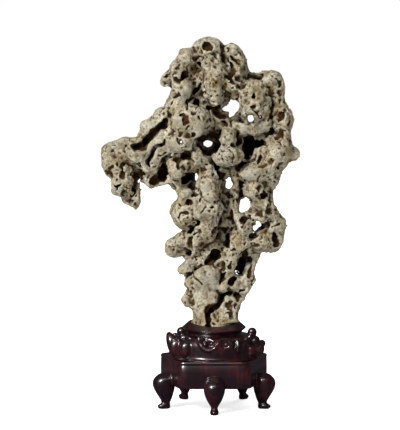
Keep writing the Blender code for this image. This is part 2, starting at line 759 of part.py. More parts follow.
def make_stand_top(collection, cutters):
    bm = bmesh.new()
    add_turned(bm, ((0.0, TOP_PROFILE[0][1]), *TOP_PROFILE, (0.0, TOP_PROFILE[-1][1])))
    top = new_object("stand_top", bm, collection)
    balls = []
    for points in CARVING:
        balls += carving(points)
    add_balls(top, balls)
    fuse(top, CARVED_VOXEL)

    hollows = new_object("carved_hollows", bmesh.new(), cutters)
    spaces = []
    for degrees, height, half_width, half_height in CARVED_HOLLOWS:
        turn = Matrix.Rotation(math.radians(degrees), 4, "Z")
        sizes = (half_width, CARVED_HOLLOW_HALF_DEPTH, half_height)
        spaces.append(ellipsoid(around(degrees, height, CARVED_HOLLOW_REACH), sizes, turn))
    add_balls(hollows, spaces)
    fuse(hollows, CARVED_VOXEL)
    cut_away(top, hollows)
    fuse(top, CARVED_VOXEL)
    keep_largest(top)
    smooth(top, 1)
    thin_out(top, TOP_TRIANGLES)

    cut_away(top, make_space_below(DRUM_TOP + FIT_GAP, cutters))
    cut_away(top, make_socket_space(cutters))
    keep_largest(top)
    return top


def paint(obj, name, colour, roughness):
    """Gives an object a plain material."""
    material = bpy.data.materials.get(name)
    if material is None:
        material = bpy.data.materials.new(name)
        material.use_nodes = True
        shader = material.node_tree.nodes["Principled BSDF"]
        shader.inputs["Base Color"].default_value = (*colour, 1.0)
        shader.inputs["Roughness"].default_value = roughness
        shader.inputs["Metallic"].default_value = 0.0
    obj.data.materials.clear()
    obj.data.materials.append(material)


def main():
    for old in list(bpy.data.objects):
        bpy.data.objects.remove(old)
    collection = new_collection("scholars_rock")
    cutters = new_collection("cutters")
    rock = make_rock(collection, cutters)
    paint(rock, "limestone", (0.52, 0.46, 0.34), 0.8)
    stand_top = make_stand_top(collection, cutters)
    paint(stand_top, "carved_hardwood", (0.032, 0.010, 0.010), 0.3)
    drum = make_drum(collection)
    paint(drum, "drum_hardwood", (0.028, 0.009, 0.010), 0.3)
    for leg in make_legs(collection, cutters):
        paint(leg, "leg_hardwood", (0.032, 0.010, 0.010), 0.3)


main()
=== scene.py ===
"""A scholar's rock on its carved hardwood stand, finished as a Blender scene."""

import math

import bmesh
import bpy
import numpy as np
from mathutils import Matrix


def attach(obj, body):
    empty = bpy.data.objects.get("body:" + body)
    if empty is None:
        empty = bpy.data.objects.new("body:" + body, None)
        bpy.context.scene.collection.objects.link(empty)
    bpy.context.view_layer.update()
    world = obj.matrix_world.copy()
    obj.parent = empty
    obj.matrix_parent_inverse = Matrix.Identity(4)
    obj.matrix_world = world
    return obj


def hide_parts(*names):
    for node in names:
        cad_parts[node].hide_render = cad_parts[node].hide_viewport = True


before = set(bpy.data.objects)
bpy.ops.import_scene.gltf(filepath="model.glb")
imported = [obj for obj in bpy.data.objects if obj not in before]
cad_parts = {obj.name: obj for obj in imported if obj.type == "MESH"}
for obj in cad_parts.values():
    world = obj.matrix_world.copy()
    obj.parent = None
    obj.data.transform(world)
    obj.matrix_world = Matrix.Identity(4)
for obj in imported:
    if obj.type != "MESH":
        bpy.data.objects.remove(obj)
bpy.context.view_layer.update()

import openvdb
from mathutils import Matrix, Vector

bl_info = {
    "name": "Scholar's rock on a carved stand",
    "version": (1, 0, 0),
    "blender": (4, 5, 0),
    "location": "3D View > Sidebar > Scholar's Rock",
    "description": "Builds a pierced limestone scholar's rock and its carved five-legged hardwood stand",
    "category": "Add Mesh",
}

# Lengths are in metres, +Z is up and the viewer's side is -Y.
BODY = "root"

# The front drawing that the rock is laid out on: 1.5 mm squares, columns to the right and rows down. A
# place on it is (column, row, depth), and depth runs towards the viewer from the stand's axis.
SQUARE = 0.0015
DEPTH_UNIT = 1.4 * SQUARE
ORIGIN_COLUMN = 200.5
AXIS_COLUMN = 214.0
FLOOR_ROW = 406.0
SUMMIT_ROW = 37.0

# How the whole rock sways out of the drawing's plane, in depth units.
ARM_BEND = 8.0
ARM_COLUMNS = 110.0
FLANK_BEND = 7.0
LEAN = 6.0
LEAN_ROWS = 230.0
FOOT_ROW = 312.0
FOOT_ROWS = 60.0

# The stand's upright axis, and the socket that the rock's foot stands in.
AXIS_X = (AXIS_COLUMN - ORIGIN_COLUMN) * SQUARE
AXIS_Y = 0.0073
SOCKET_FLOOR = 0.108
SOCKET_FLOOR_RADIUS = 0.0330
COLLAR_TOP = 0.1293
COLLAR_TOP_RADIUS = 0.0365
FIT_GAP = 0.0003

# The place that the object is looked at from, the point looked at, and the render's frame in pixels, with
# the eye's distance from the frame in pixels. One square fills a little more than one pixel.
EYE = Vector((-0.00075, -2.8, 0.48))
AIM = Vector((-0.00075, 0.0, 0.2885))
PICTURE = (400, 430)
PIXELS_PER_SQUARE = 1.005
FOCAL = PIXELS_PER_SQUARE * (AIM - EYE).length / SQUARE
SENSOR = 36.0

# Distances from the eye between which the rock and the stand's front lie.
EYE_NEAR = 2.68
EYE_FAR = 2.98

# How far from its skin a block is worked out, and the half sizes of the cubes round a point of the skin
# whose share of solid says how deep it lies in a crease and how sheltered it is.
REACH = 0.0045
CREASE_REACH = 0.0030
SHELTER_REACH = 0.0090

# Ellipsoid masses of the rock: column, row, depth, then half width, half height and half depth.
MASSES = (
    # summit and its left shoulder
    (209, 52, 0, 17, 16, 15), (232, 57, -2, 12, 14.5, 14), (238, 68, -2, 10.5, 13, 12),
    (187, 59.5, 1, 11.5, 12, 13), (179.5, 74.5, 1, 13, 15, 13), (183, 92, 0, 12, 17, 14),
    (214, 80, 10, 13, 26, 14), (205, 82, -8, 21, 28, 15), (234, 84, 2, 12, 18, 16),
    # right lobe, its shelf and its horn
    (254, 102, 6, 17, 22, 15), (257, 96, -8, 18, 20, 14), (273, 82, -2, 12, 13, 12),
    (276, 96, -3, 9, 14, 12), (280, 118, -5, 14.5, 16, 15), (282, 134, 0, 10, 12, 14),
    (277, 151, 2, 17, 16, 17), (292, 154, 1, 9.5, 7.5, 8), (281, 163, 1, 8.5, 8, 10),
    # left neck and the arm's root
    (178, 107, 2, 12.5, 18, 14), (163.5, 119.5, 0, 12, 12.5, 13), (150.5, 130.5, -1, 12.5, 12.5, 12),
    (133, 146, -2, 14, 9, 12), (124, 143, -2, 8, 6, 9), (114.5, 153, 0, 13.5, 12, 12),
    (115, 165, 0, 13, 14, 12), (122, 177, 4, 11, 16, 10), (121, 188, 3, 11, 8, 9),
    (131.5, 196.5, 0, 9, 11, 8), (136, 203, 0, 5.5, 7, 5), (134, 180, -4, 7, 18, 8),
    (150, 160, -6, 17, 18, 11), (151, 181, -3, 8.5, 8.5, 9), (162, 179, -3, 10, 7, 10),
    (172, 171, -6, 13, 15, 14), (184, 182, -8, 15, 14, 12), (170, 156, -6, 10, 9, 10),
    # middle of the body
    (190, 122, 8, 22, 17, 15), (180, 143, 10, 15, 10, 11), (178, 166, 8, 10, 13, 12),
    (195, 160, 6, 14, 12, 14), (215, 118, -10, 28, 22, 14), (205, 150, -12, 26, 22, 15),
    (228, 155, 10, 15, 11, 13), (228, 136, 8, 8, 10, 12), (238, 150, -12, 30, 22, 14),
    (262, 150, -8, 18, 24, 15), (255, 173, 9, 17, 10, 13), (268, 166, 2, 14, 13, 14),
    (269, 178, -2, 11, 12, 13), (254, 189, 7, 10, 11, 12), (265, 196, -2, 8, 14, 11),
    (262, 205, 5, 12, 7, 11), (230, 180, -10, 26, 22, 13), (208, 185, 10, 11, 22, 14),
    (195, 200, -8, 17, 18, 14), (187, 196, 4, 11, 10, 12),
    # lower body
    (204, 208, 8, 18, 14, 14), (184, 214, 4, 14.5, 16, 14), (206, 226, 7, 12, 18, 14),
    (220, 215, -10, 28, 22, 14), (236, 210, 0, 10, 16, 12), (195, 240, 5, 11, 16, 12),
    (243, 228, 8, 9, 9, 11), (256, 216, 4, 12, 8, 12), (268, 213, 0, 12, 9, 12),
    (273, 227, 0, 15, 13, 14), (272, 240, 0, 13, 12.5, 13), (262, 246, 0, 8, 6.5, 9),
    (258, 241, 5, 11, 11, 12), (240, 242, 3, 14, 13, 13), (175, 247, 1, 12, 11, 10),
    (184, 240, 1, 9, 10, 10), (183, 250, 0, 8, 8, 9), (225, 240, -8, 28, 18, 12),
    # the trunk down to the socket
    (242, 266, -9, 9, 22, 8), (230, 262, 5, 10, 18, 11), (208, 262, 0, 18, 20, 13),
    (207, 278, 5, 14, 16, 13), (225, 285, 3, 14, 8, 13), (224, 298, -4, 12, 12, 12),
    (240, 287, -1, 12, 11, 12), (191, 282, 1, 7.5, 7, 9), (189, 299.5, 1, 8.5, 9, 9),
    (205, 302, 1, 15, 28, 15), (236, 299, -2, 8.5, 13, 11), (227, 314, 1, 12, 20, 15),
    (216, 326, 0, 26, 13, 17),
)

# Ridges and struts: the (column, row, depth, half thickness) points that each one runs through.
RIDGES = (
    # the right lobe's shelf
    ((243, 73, -6, 5), (254, 77, -8, 5.5), (266, 76, -8, 6)),
    # the left lobe's drooping tip
    ((164.5, 81, 2, 6), (171, 76, 3, 7), (178, 70, 2, 7)),
    # the arm's front rim, under its long furrow
    ((118, 154, 6, 8), (130, 157, 7, 6.5), (141, 160, 7, 6), (149, 167, 6, 6), (156, 174, 4, 5.5)),
    # the rib between the arm's two furrows
    ((139, 157, 6, 5), (148, 151, 7, 4.6), (155, 143, 8, 4.6), (166, 133, 9, 5.5), (178, 124, 9, 7)),
    # the rib right of the second furrow
    ((154, 170, 4, 5), (155, 161, 7, 5), (161, 151, 9, 5.5), (172, 142, 10, 8)),
    # the bar under the right lobe's window
    ((238, 124, 7, 5.5), (248, 129, 9, 5.5), (258, 126, 8, 6), (264, 122, 6, 7)),
    # the strut between the two windows of the right side
    ((236, 168, 3, 5.5), (238, 180, 1, 4.6), (238, 192, -2, 4.6), (235, 204, -2, 6)),
    # the drooping limb on the left
    ((182, 270, 2, 6.5), (190, 265, 4, 8), (199, 257, 5, 9), (207, 249, 5, 8.5), (216, 245, 3, 8)),
    # the strut down the right side
    ((255, 250, -1, 7.5), (250, 262, -1, 6.5), (248, 273, -1, 6), (247, 281, -1, 8.5)),
    # the back's ribs
    ((186, 70, -12, 7), (200, 96, -16, 8), (228, 112, -18, 8), (262, 118, -16, 8)),
    ((152, 140, -10, 7), (176, 148, -16, 8), (204, 168, -20, 8), (226, 196, -18, 9), (244, 236, -14, 8)),
    ((272, 160, -12, 7), (246, 178, -18, 8), (214, 212, -17, 9), (196, 244, -12, 8)),
    ((236, 246, -14, 7), (224, 272, -11, 8), (204, 300, -10, 7)),
)

# Hollows: column, row, depth, then half width, half height, half depth and a tilt in degrees, clockwise
# as drawn. A hollow whose half depth is large goes right through.
HOLLOWS = (
    # the deep caves in front
    (210, 147, 12, 11, 9.5, 16, 0), (253, 143, 12, 9, 6.5, 16, 10), (248, 152, 14, 4, 7, 14, 0),
    (187, 178, 10, 7, 5, 10, -35), (163, 171, 8, 5, 7, 11, 0), (241, 263, 8, 5.5, 14, 12, 22),
    (256, 76, 2, 7, 4.5, 8, 0),
    # caves at the back
    (222, 66, -17, 8, 10, 10, 20), (196, 92, -22, 7, 13, 9, 0), (262, 104, -22, 9, 9, 10, 0),
    (222, 130, -25, 12, 8, 11, -30), (166, 128, -14, 12, 6, 9, -35), (268, 152, -22, 10, 14, 11, 10),
    (190, 152, -25, 10, 12, 12, 0), (128, 166, -12, 7, 10, 8, 20), (213, 192, -24, 8, 14, 11, -20),
    (238, 222, -22, 12, 8, 11, 15), (196, 226, -20, 8, 10, 10, 0), (268, 226, -14, 7, 7, 8, 0),
    (214, 262, -14, 8, 14, 9, 25), (212, 298, -17, 6, 11, 8, 0),
)

# Furrows: the (column, row, depth, half width) points that each one runs through. They are deep slots.
FURROW_HALF_DEPTH = 14
FURROWS = (
    # the back's furrows
    ((200, 60, -27, 4), (214, 78, -29, 5), (236, 88, -29, 4)),
    ((160, 122, -23, 3.5), (180, 130, -28, 4), (206, 138, -31, 4.5), (232, 138, -32, 4)),
    ((172, 172, -28, 3.5), (186, 184, -30, 4), (200, 206, -30, 4.5), (206, 228, -28, 4)),
    ((284, 138, -26, 4), (262, 172, -29, 4), (250, 206, -28, 4), (258, 224, -25, 3)),
    ((210, 246, -26, 4), (230, 258, -26, 4.5), (238, 280, -24, 4)),
)

# What is worn into the front skin, each as its depth and the (column, row, half width) points it runs
# through, as seen from the front.
WORN = (
    # summit
    (7, (204, 47, 2.2), (206.5, 44.5, 3.2), (208.5, 47.5, 3.2)), (3, (202, 51.5, 1), (202.4, 53, 1)),
    (5, (216, 52.5, 1.6), (215.5, 55, 2.4), (217, 58, 1.8)),
    (4, (221.5, 41.5, 1.4), (222, 45, 2.4), (222, 49, 2.2), (221.5, 52.5, 1.2)),
    (3, (228.3, 47.5, 0.9), (228.3, 51.5, 0.9)), (3, (206.5, 64, 1.2)), (2.5, (203.5, 60.5, 0.9)),
    (2.5, (210.5, 63, 0.9)), (2.5, (212, 59.5, 0.8), (213.5, 58, 0.7)),
    (3, (220, 55.5, 0.7), (225, 58, 0.7), (229, 61, 0.9), (231.5, 64, 1)),
    (3, (196.5, 60.5, 0.7), (198, 58, 0.8), (201, 57, 1), (204, 57.5, 0.9), (206, 56, 0.9)),
    (2.5, (238, 50, 1.2), (240.5, 52.5, 1.4), (240, 55, 0.8)),
    (4, (231.5, 55.5, 0.8), (234, 59.5, 1.6), (236.5, 62.5, 1.5), (237.8, 64.5, 0.8)),
    (2, (244.5, 60, 0.8), (245.5, 63.5, 1)), (2.5, (241, 76, 0.8), (242.5, 77.8, 1.4), (244.5, 76, 0.8)),
    # crevice between the left lobe and the central column
    (8, (200, 63, 1.2), (201, 68, 1.6), (202, 73, 2.6), (202, 77.5, 2.8), (201, 83, 1.8),
     (199, 87, 1.8), (196, 90.5, 2.4), (194, 95, 2.2), (191, 99, 1.8), (187, 102.5, 1.8),
     (187.5, 106, 0.9), (188, 110, 0.7)),
    (4, (205.5, 90.3, 1.1), (203, 93.5, 1.6), (201.5, 96, 1.2)),
    # left lobe
    (3.5, (165.5, 76.5, 1.4), (167.5, 74.5, 1.6), (170.5, 72, 1.1)),
    (2.5, (175.5, 68.5, 0.9), (178, 67.5, 1), (179.7, 65, 1)), (4, (183.5, 76, 2.8), (185, 72.5, 2.2)),
    (6, (176.5, 78.5, 1.5), (180, 80, 1.7), (184, 78.5, 1.7), (186.8, 75, 1.5), (187, 71, 1.2),
     (186.3, 68, 0.8)),
    (3, (173, 97, 0.9), (174.7, 94.5, 1.1), (173.5, 92, 0.7)), (2, (172.5, 74.7, 0.8), (175, 74.5, 0.7)),
    # right of the central column
    (7, (228.5, 61, 1), (231, 64.5, 1.8), (232, 69, 2.6), (231.5, 73.5, 2.8), (233.5, 76.5, 1.2)),
    (7, (225.5, 75, 1.6), (227.5, 77, 2.6), (229.5, 80, 2.2), (232.5, 82.5, 1.4)),
    (5, (237, 79, 0.7), (238.5, 82, 0.8), (239.5, 86, 1.2), (240.3, 88, 0.9)),
    (4, (229.3, 95.5, 0.8), (229, 99.5, 0.9)), (3, (235.3, 100, 1), (237, 98.3, 0.8)),
    (3, (222.7, 97.7, 1.1)), (2.5, (211, 92, 0.8)), (2.5, (211.5, 96.5, 0.9)), (2.5, (219.7, 75.5, 0.8)),
    # the right dome, its shelf and its horn
    (6, (250.5, 75.4, 3), (255.5, 75.4, 3.6), (260.8, 75.4, 2.8)),
    (3.5, (261.5, 84, 0.6), (265, 85.5, 1), (268.5, 87.5, 1.1)),
    (3, (266.5, 94, 0.9), (269, 95.5, 1.2), (271.5, 95, 1)),
    (3, (275, 78.5, 0.7), (277.5, 81, 1), (280, 83, 1.1), (281.5, 86, 1)),
    (3, (278.5, 93.5, 0.8), (280.3, 98, 1.4), (279, 103, 1)),
    (5, (253.6, 93.8, 0.8), (253.7, 96.5, 1.2), (253.5, 98.5, 1)),
    (5, (250.5, 107, 1.3), (253.5, 107, 1.7), (256, 105.5, 1.5)),
    (5, (252.5, 109, 1), (254, 111, 1), (256.5, 113, 1.6), (258, 116, 1.5), (259, 118.5, 0.8)),
    (2.5, (269.5, 103, 1.6), (271, 108, 2), (271, 114, 2.2), (268.5, 121, 1.2)),
    (5, (283, 110, 1.5), (288, 114, 1.6), (290, 119, 2), (289, 124, 1.4)),
    (3, (280, 115, 1.2), (280.5, 119, 1.1)), (4, (243.5, 121.5, 1.8), (247, 123.5, 2), (250.5, 124, 1.6)),
    (3, (246.5, 117.5, 0.9), (248.5, 114.8, 0.9)), (2, (272, 126.5, 1)),
    (4, (274.5, 134, 0.9), (278, 134.5, 1.1), (282, 131.5, 1.4), (285.5, 131, 0.9)),
    (3, (277.5, 138.5, 0.8), (279.5, 141.5, 0.9), (281, 144.5, 0.7)),
    (3.5, (266, 133.5, 1), (266.5, 136.5, 1.1)),
    # left of the first window
    (9, (208.5, 108.5, 1.8), (213.5, 108, 2.6), (218, 107.5, 3)),
    (9, (215, 113, 2.2), (220, 115, 3.2), (225.5, 116, 2.8)),
    (4, (204, 101.5, 0.9), (206.5, 103, 1), (208, 106, 1.2), (209.5, 110, 1.3), (210.5, 118.5, 0.9)),
    (5, (222, 120.5, 0.9), (225, 123, 1.6), (227.5, 126.5, 2.2), (228.5, 129, 1.8)),
    (2.5, (231.5, 123.5, 1.2)),
    # the big caves of the middle
    (9, (202, 139, 3.5), (201.5, 147, 4), (206, 152, 4), (210, 154, 3)),
    (9, (209, 138, 4), (216, 136, 4.5), (219, 142, 4.2), (214, 148, 4)),
    (6, (238, 132.5, 2.2), (236.5, 137, 2.6), (238.5, 141, 1.6), (235, 144, 2.6), (232, 144.5, 1.6)),
    (10, (249, 138, 4), (249, 144, 5.5), (248, 152, 4.6), (246.5, 157, 2.6)),
    (7, (255, 141, 4), (259, 144, 3.2), (264, 143, 2.6), (265.5, 145.5, 2)),
    (4, (261.5, 157, 1), (259.5, 158.5, 1.8), (258, 161, 1.7), (258, 163.5, 1)),
    (6, (238, 164.5, 1.2), (241, 163.5, 2), (245, 163.5, 2)), (2, (265.5, 172, 0.9), (267.5, 171.5, 0.8)),
    (3, (228, 149.5, 0.7), (231, 152.5, 0.7), (233.5, 156.5, 0.9), (234, 160, 0.9), (233, 163, 0.8)),
    (4, (223.5, 166, 1), (227, 167.5, 1.4), (231, 166.5, 1)),
    (7, (213.5, 161.5, 1), (215.5, 165, 1.8), (216, 170, 2.2), (218.5, 174, 2.4), (221.5, 178, 2)),
    # left of the middle
    (2.5, (197, 106, 0.9), (195.5, 109, 0.7), (193.6, 113, 0.8), (193.6, 116, 0.7)),
    (2.5, (199.3, 116.5, 0.9), (199.8, 118.5, 0.8)),
    (5, (180.5, 115.5, 1), (184, 115.5, 1.8), (184.5, 119, 2.2), (185, 122, 2.6), (187.5, 123, 1)),
    (2.5, (180.5, 128, 0.9), (179.5, 130.5, 0.9)), (2, (188, 127, 0.7), (186.5, 129.5, 0.8)),
    (4, (203.5, 128.5, 0.9), (206.5, 127.3, 1.2), (210.5, 126.5, 1), (213.5, 128.5, 1)),
    (3, (192.5, 135, 0.9), (195, 133.7, 1)), (3, (177, 138, 1.2), (178, 141.5, 1.4), (179.5, 144, 1)),
    (2.5, (180.5, 135, 1), (181.5, 133.5, 0.8)), (2, (172, 102.5, 0.8), (171, 105.5, 0.8)),
    (2, (163.5, 113, 0.8)), (2, (167, 112, 0.8)), (2, (167, 115, 0.9)),
    (2.5, (163.5, 130.5, 0.9), (165.5, 130, 1.1), (167, 131.5, 1)),
    # the arm's furrows
    (9, (164, 124.5, 3.6), (159.5, 127.5, 3.4), (155, 132, 3.4), (150.5, 137, 3.2), (145.5, 142.5, 3),
     (140.5, 146.5, 4.6), (135.5, 146.5, 3.6)),
    (7, (166, 139.5, 1.2), (163, 143.5, 1.8), (158, 146, 1.4), (154.5, 149, 1.7), (152, 153.5, 1.8),
     (149.5, 158, 2), (148, 162, 1.2), (151, 166, 0.7)),
    (3.5, (161, 154.8, 1), (163, 154, 1.1), (165.5, 154, 0.8)),
    (5, (169.5, 158, 1), (174, 158.5, 1.8), (178.5, 158.5, 2.2)),
    (7, (184.5, 155.5, 4), (187.5, 154.5, 3.6), (186, 158.5, 2.4)),
    (4, (178, 162, 1.6), (178.5, 167, 1.6)), (3, (182.5, 165.5, 1.3), (184.5, 168.5, 0.9)),
    (4, (191, 161.5, 0.9), (190.5, 166.5, 1.1), (188, 170, 1.2)),
    (9, (163.5, 166.5, 2.8), (164, 171.5, 4), (161, 176.5, 4.4), (156, 180, 3.6), (152, 182, 2.4)),
    (3, (148, 176.5, 1.3), (151, 178.5, 1.1)),
    (8, (142.5, 173.5, 3.4), (137.5, 175, 4), (133, 175.5, 2.6)),
    (8, (136.5, 179, 3), (135.5, 185, 2.8), (134.5, 190, 2.6), (133.5, 193.5, 1.6)),
    # the arm's end
    (3, (125.5, 146, 0.8), (124.3, 149.5, 0.8), (124.3, 152.5, 1)), (2, (115.5, 145, 0.8)),
    (5, (112, 168.5, 2), (109.5, 171, 2.6), (110, 174.5, 1.8), (106, 171.5, 1.6)), (2.5, (117.5, 165, 1)),
    (4, (124.5, 163.5, 1.2), (122, 166.5, 1.4), (122.3, 169.5, 1)),
    (5, (121, 172, 1.6), (122.5, 174, 2.4), (121.5, 178, 1.8)), (3, (125, 171.5, 1)),
    (2.5, (127.7, 164, 0.9)), (4, (132.5, 163.5, 0.8), (135, 164.5, 1.4), (137.3, 165, 1.2)),
    (4, (115, 185.5, 0.9), (118, 186.5, 1.5), (120.5, 185.5, 1.1), (117, 188, 0.8)),
    (5, (124.5, 190.5, 1.4), (124, 193.5, 2.8), (122.5, 196.5, 1.4), (127, 193.5, 1)),
    (3, (126.5, 187.5, 1), (129.5, 188, 1)), (3, (130.5, 200, 1), (133, 200, 1.1)),
    (2.5, (138, 194.5, 0.9), (136, 197.5, 1)), (2, (134.5, 204, 0.8)),
    # below the arm
    (10, (182.5, 182.5, 2.2), (186, 179, 3.8), (190, 175.5, 4.6), (195, 173, 3.2)),
    (10, (190, 180, 3), (193.5, 177, 3)), (5, (171.5, 184, 1), (173.5, 186.5, 1.7), (175.5, 189, 0.9)),
    (6, (195.8, 187.5, 1.4), (198, 190, 1.6), (200, 193.5, 2.2), (201, 198, 1.4), (200, 201.5, 0.8)),
    (2.5, (191, 195.3, 0.8), (193, 193.5, 0.9), (193.8, 191, 0.8)),
    (3.5, (187.2, 199.5, 0.8), (188.5, 202.5, 1), (187.5, 206, 0.8)),
    (2, (177.8, 202.5, 0.7), (179.5, 205.5, 0.8)), (2.5, (207.5, 194.5, 1)), (2, (205.7, 169.8, 0.9)),
    (3, (213.5, 174.5, 1)), (3, (215.5, 179, 0.9), (216.8, 180.5, 1.2)),
    (3, (217.5, 183.5, 1.2), (219, 187, 2.2), (219, 190, 1)),
    (1.5, (206.5, 207.5, 0.8), (203.5, 210.5, 1), (201, 213, 0.8)),
    (4, (179, 217, 1), (180.5, 213.5, 1.2), (184, 212, 1), (188, 213, 1.2)), (2.5, (183.5, 215, 1)),
    (2, (179.2, 221.5, 0.8), (180.5, 223.5, 0.8)),
    (6, (197.5, 221.5, 2.2), (197.5, 224, 1.8), (195, 226.5, 0.9), (193.5, 227.8, 0.7)),
    (4, (197, 230.5, 0.8), (199.5, 232, 1.9), (196.5, 233.3, 1), (194, 235, 0.8)), (3, (187.5, 233, 1.4)),
    (2, (182, 232.5, 0.7), (180, 235, 0.7)),
    # down the middle
    (6, (224, 176, 2), (223, 181, 1.6), (224.5, 187, 2), (226, 193, 2.6), (230, 196.5, 2.6)),
    (3, (214, 201.5, 0.8), (215.5, 203, 1.3), (219, 199.5, 1)),
    (4, (221, 204.5, 2), (219, 207.5, 2), (222.5, 208.5, 1.4)), (3, (213.5, 208.5, 1.1)),
    (4, (218.5, 212, 0.8), (219, 215, 1.1), (221, 218.5, 1.3)),
    (8, (219.8, 222, 2.8), (218, 227, 3.5), (215.5, 232, 3.5)), (3, (224, 228.5, 1.1)),
    (8, (228, 235, 2.2), (227.3, 240, 3.4), (227, 245.5, 2.8)),
    (7, (231.5, 209.5, 1.6), (230.5, 214, 2.4), (231.5, 219, 2.6), (233.5, 224, 2.6), (235, 229, 2)),
    # round the right side's windows
    (7, (241.5, 194, 2), (244.5, 196, 1.6)), (7, (239.5, 197.5, 1.6), (238, 203, 1.4)),
    (6, (242.5, 182, 2.2), (243.5, 185, 2), (241, 188, 1.4)),
    (3, (260, 176, 0.8), (257.8, 179.5, 1.1), (257, 181, 0.9)), (2, (253.5, 183.5, 0.9)),
    (4, (261.5, 185.5, 1), (260, 188.5, 1.2), (256.5, 189.5, 0.9)),
    (2.5, (266, 182.5, 1), (264, 184.5, 0.8)), (3, (273.5, 180.5, 1), (275.5, 183, 1.2)),
    (2.5, (276, 168, 0.9), (279.5, 167, 1)), (2, (220.5, 150, 0.9), (225, 152.4, 0.9), (230, 151.8, 0.8)),
    (2, (229, 157, 0.8), (232, 160, 0.9)), (2, (221.5, 158, 0.9), (225, 161, 0.8)),
    (6, (257.5, 196.5, 1.6), (261, 195.5, 2.6), (264.5, 195, 2.2), (262, 199, 1.4)),
    (5, (268.3, 191.5, 1), (268.8, 196, 1.3), (270.5, 201, 1), (271, 205, 0.8)), (2.5, (265.3, 207.3, 1)),
    (3, (267, 210, 1), (270, 213, 1.4), (266, 216, 1.2), (267.5, 219, 1.5)),
    (2.5, (262.5, 215.5, 0.9), (261.5, 211.5, 0.8)), (6, (251.5, 219.5, 1.8), (254, 219.5, 1.6)),
    (3, (252, 223, 1.8), (254, 226.5, 1.4), (257, 229, 1.2)),
    (5, (241, 221.5, 1.4), (245, 221, 1.3), (249, 219.5, 1.2)),
    (2, (246.3, 226.5, 0.8), (243.8, 229.8, 0.8)),
    (5, (253.5, 232.5, 1.6), (250.5, 235, 2), (255.5, 235.5, 1.8), (252, 238, 1.4)),
    (3, (272, 227, 0.8), (275.5, 225.5, 0.9), (280, 224.5, 0.7)),
    (7, (273.8, 232.5, 1.4), (274.5, 237, 2.6), (276.5, 241.5, 2.8), (274.5, 245.5, 1.6)),
    (2.5, (261.5, 242, 1.1)), (3, (253.5, 242, 0.9), (253.5, 246, 1.1)),
    (2.5, (246, 242.5, 0.8), (243.8, 244.5, 0.9)), (2.5, (232.5, 249.5, 1.2)),
    # the lower body
    (5, (190.5, 238.5, 2.2), (190, 243.5, 3.2), (190, 249, 3.4), (189, 253, 2.4)),
    (2.5, (203.8, 250.3, 1.1)), (2, (200.5, 254, 1)), (2, (201, 256.7, 0.8)), (2, (196, 259.5, 0.9)),
    (2.5, (179.8, 271.5, 1)), (8, (217.5, 252, 2.2), (214, 256, 3.6), (210, 260.5, 3.4), (207, 262.5, 2)),
    (3, (203, 264.5, 1.6), (198, 268, 1.4), (194, 270, 1)), (2, (214, 264, 1)),
    (3.5, (194.5, 272, 0.9), (193, 275.5, 1.8), (195.5, 278.5, 1.6), (198.5, 281, 1), (202, 284, 0.8)),
    (5, (224.5, 264, 0.9), (224, 268.5, 2)), (3, (219, 265.5, 0.8), (218.3, 269.5, 1.1)),
    (3.5, (225, 273, 1), (222.5, 277, 2.2), (221, 281.5, 1.8), (220, 284.5, 0.8)),
    (8, (246, 251.5, 2.4), (244.5, 257, 3.8), (242, 263, 4.8), (240, 268.5, 4.4), (238, 272.5, 2.6)),
    (9, (234, 278, 2), (230.5, 282.5, 3.2)), (2, (231, 262, 0.9)), (2, (232.5, 266.3, 0.9)),
    (2, (229.5, 268, 0.8)),
    (9, (231, 291, 1), (227.5, 293, 1.6), (223.5, 295.5, 1.8), (221.5, 300, 2.4), (217.5, 305, 2.3),
     (212.5, 309, 2), (208.5, 312.5, 2.4), (207.5, 318, 2.4), (209, 323, 1.9), (210, 328, 1.6)),
    (4, (240, 291, 1.6), (244, 290, 1.2)), (6, (234.5, 294.5, 1.6), (237, 296, 3), (238.5, 299, 2.4)),
    (3, (228.5, 302, 0.9), (229, 309, 0.9)), (3.5, (232, 305, 1), (231.5, 312, 1.4), (231, 318, 1.6)),
    (3, (234, 303, 1.2), (236, 309, 1)), (2, (226, 313, 1)), (2, (213.7, 323.5, 1.1)),
    (2.5, (251.5, 258, 0.9), (251, 264, 1), (250.5, 270, 0.9), (249.5, 277, 0.8)),
    (3, (252.5, 280.5, 1.2), (252, 285, 1)), (2, (186, 303.5, 0.9), (184.5, 302, 0.7)),
)

# Small holes right through, as seen from the front: column, row and half width.
PIERCED = (
    (224.6, 77.3, 1.5), (228.4, 81.5, 1.5), (204.8, 92.3, 1.4), (260, 116.8, 1.6), (220.1, 131.3, 1.3),
    (220.8, 133.4, 1.2), (139.8, 165.2, 1.4), (239, 166.3, 1.2), (243.8, 180, 1.3), (259, 181.2, 1),
)

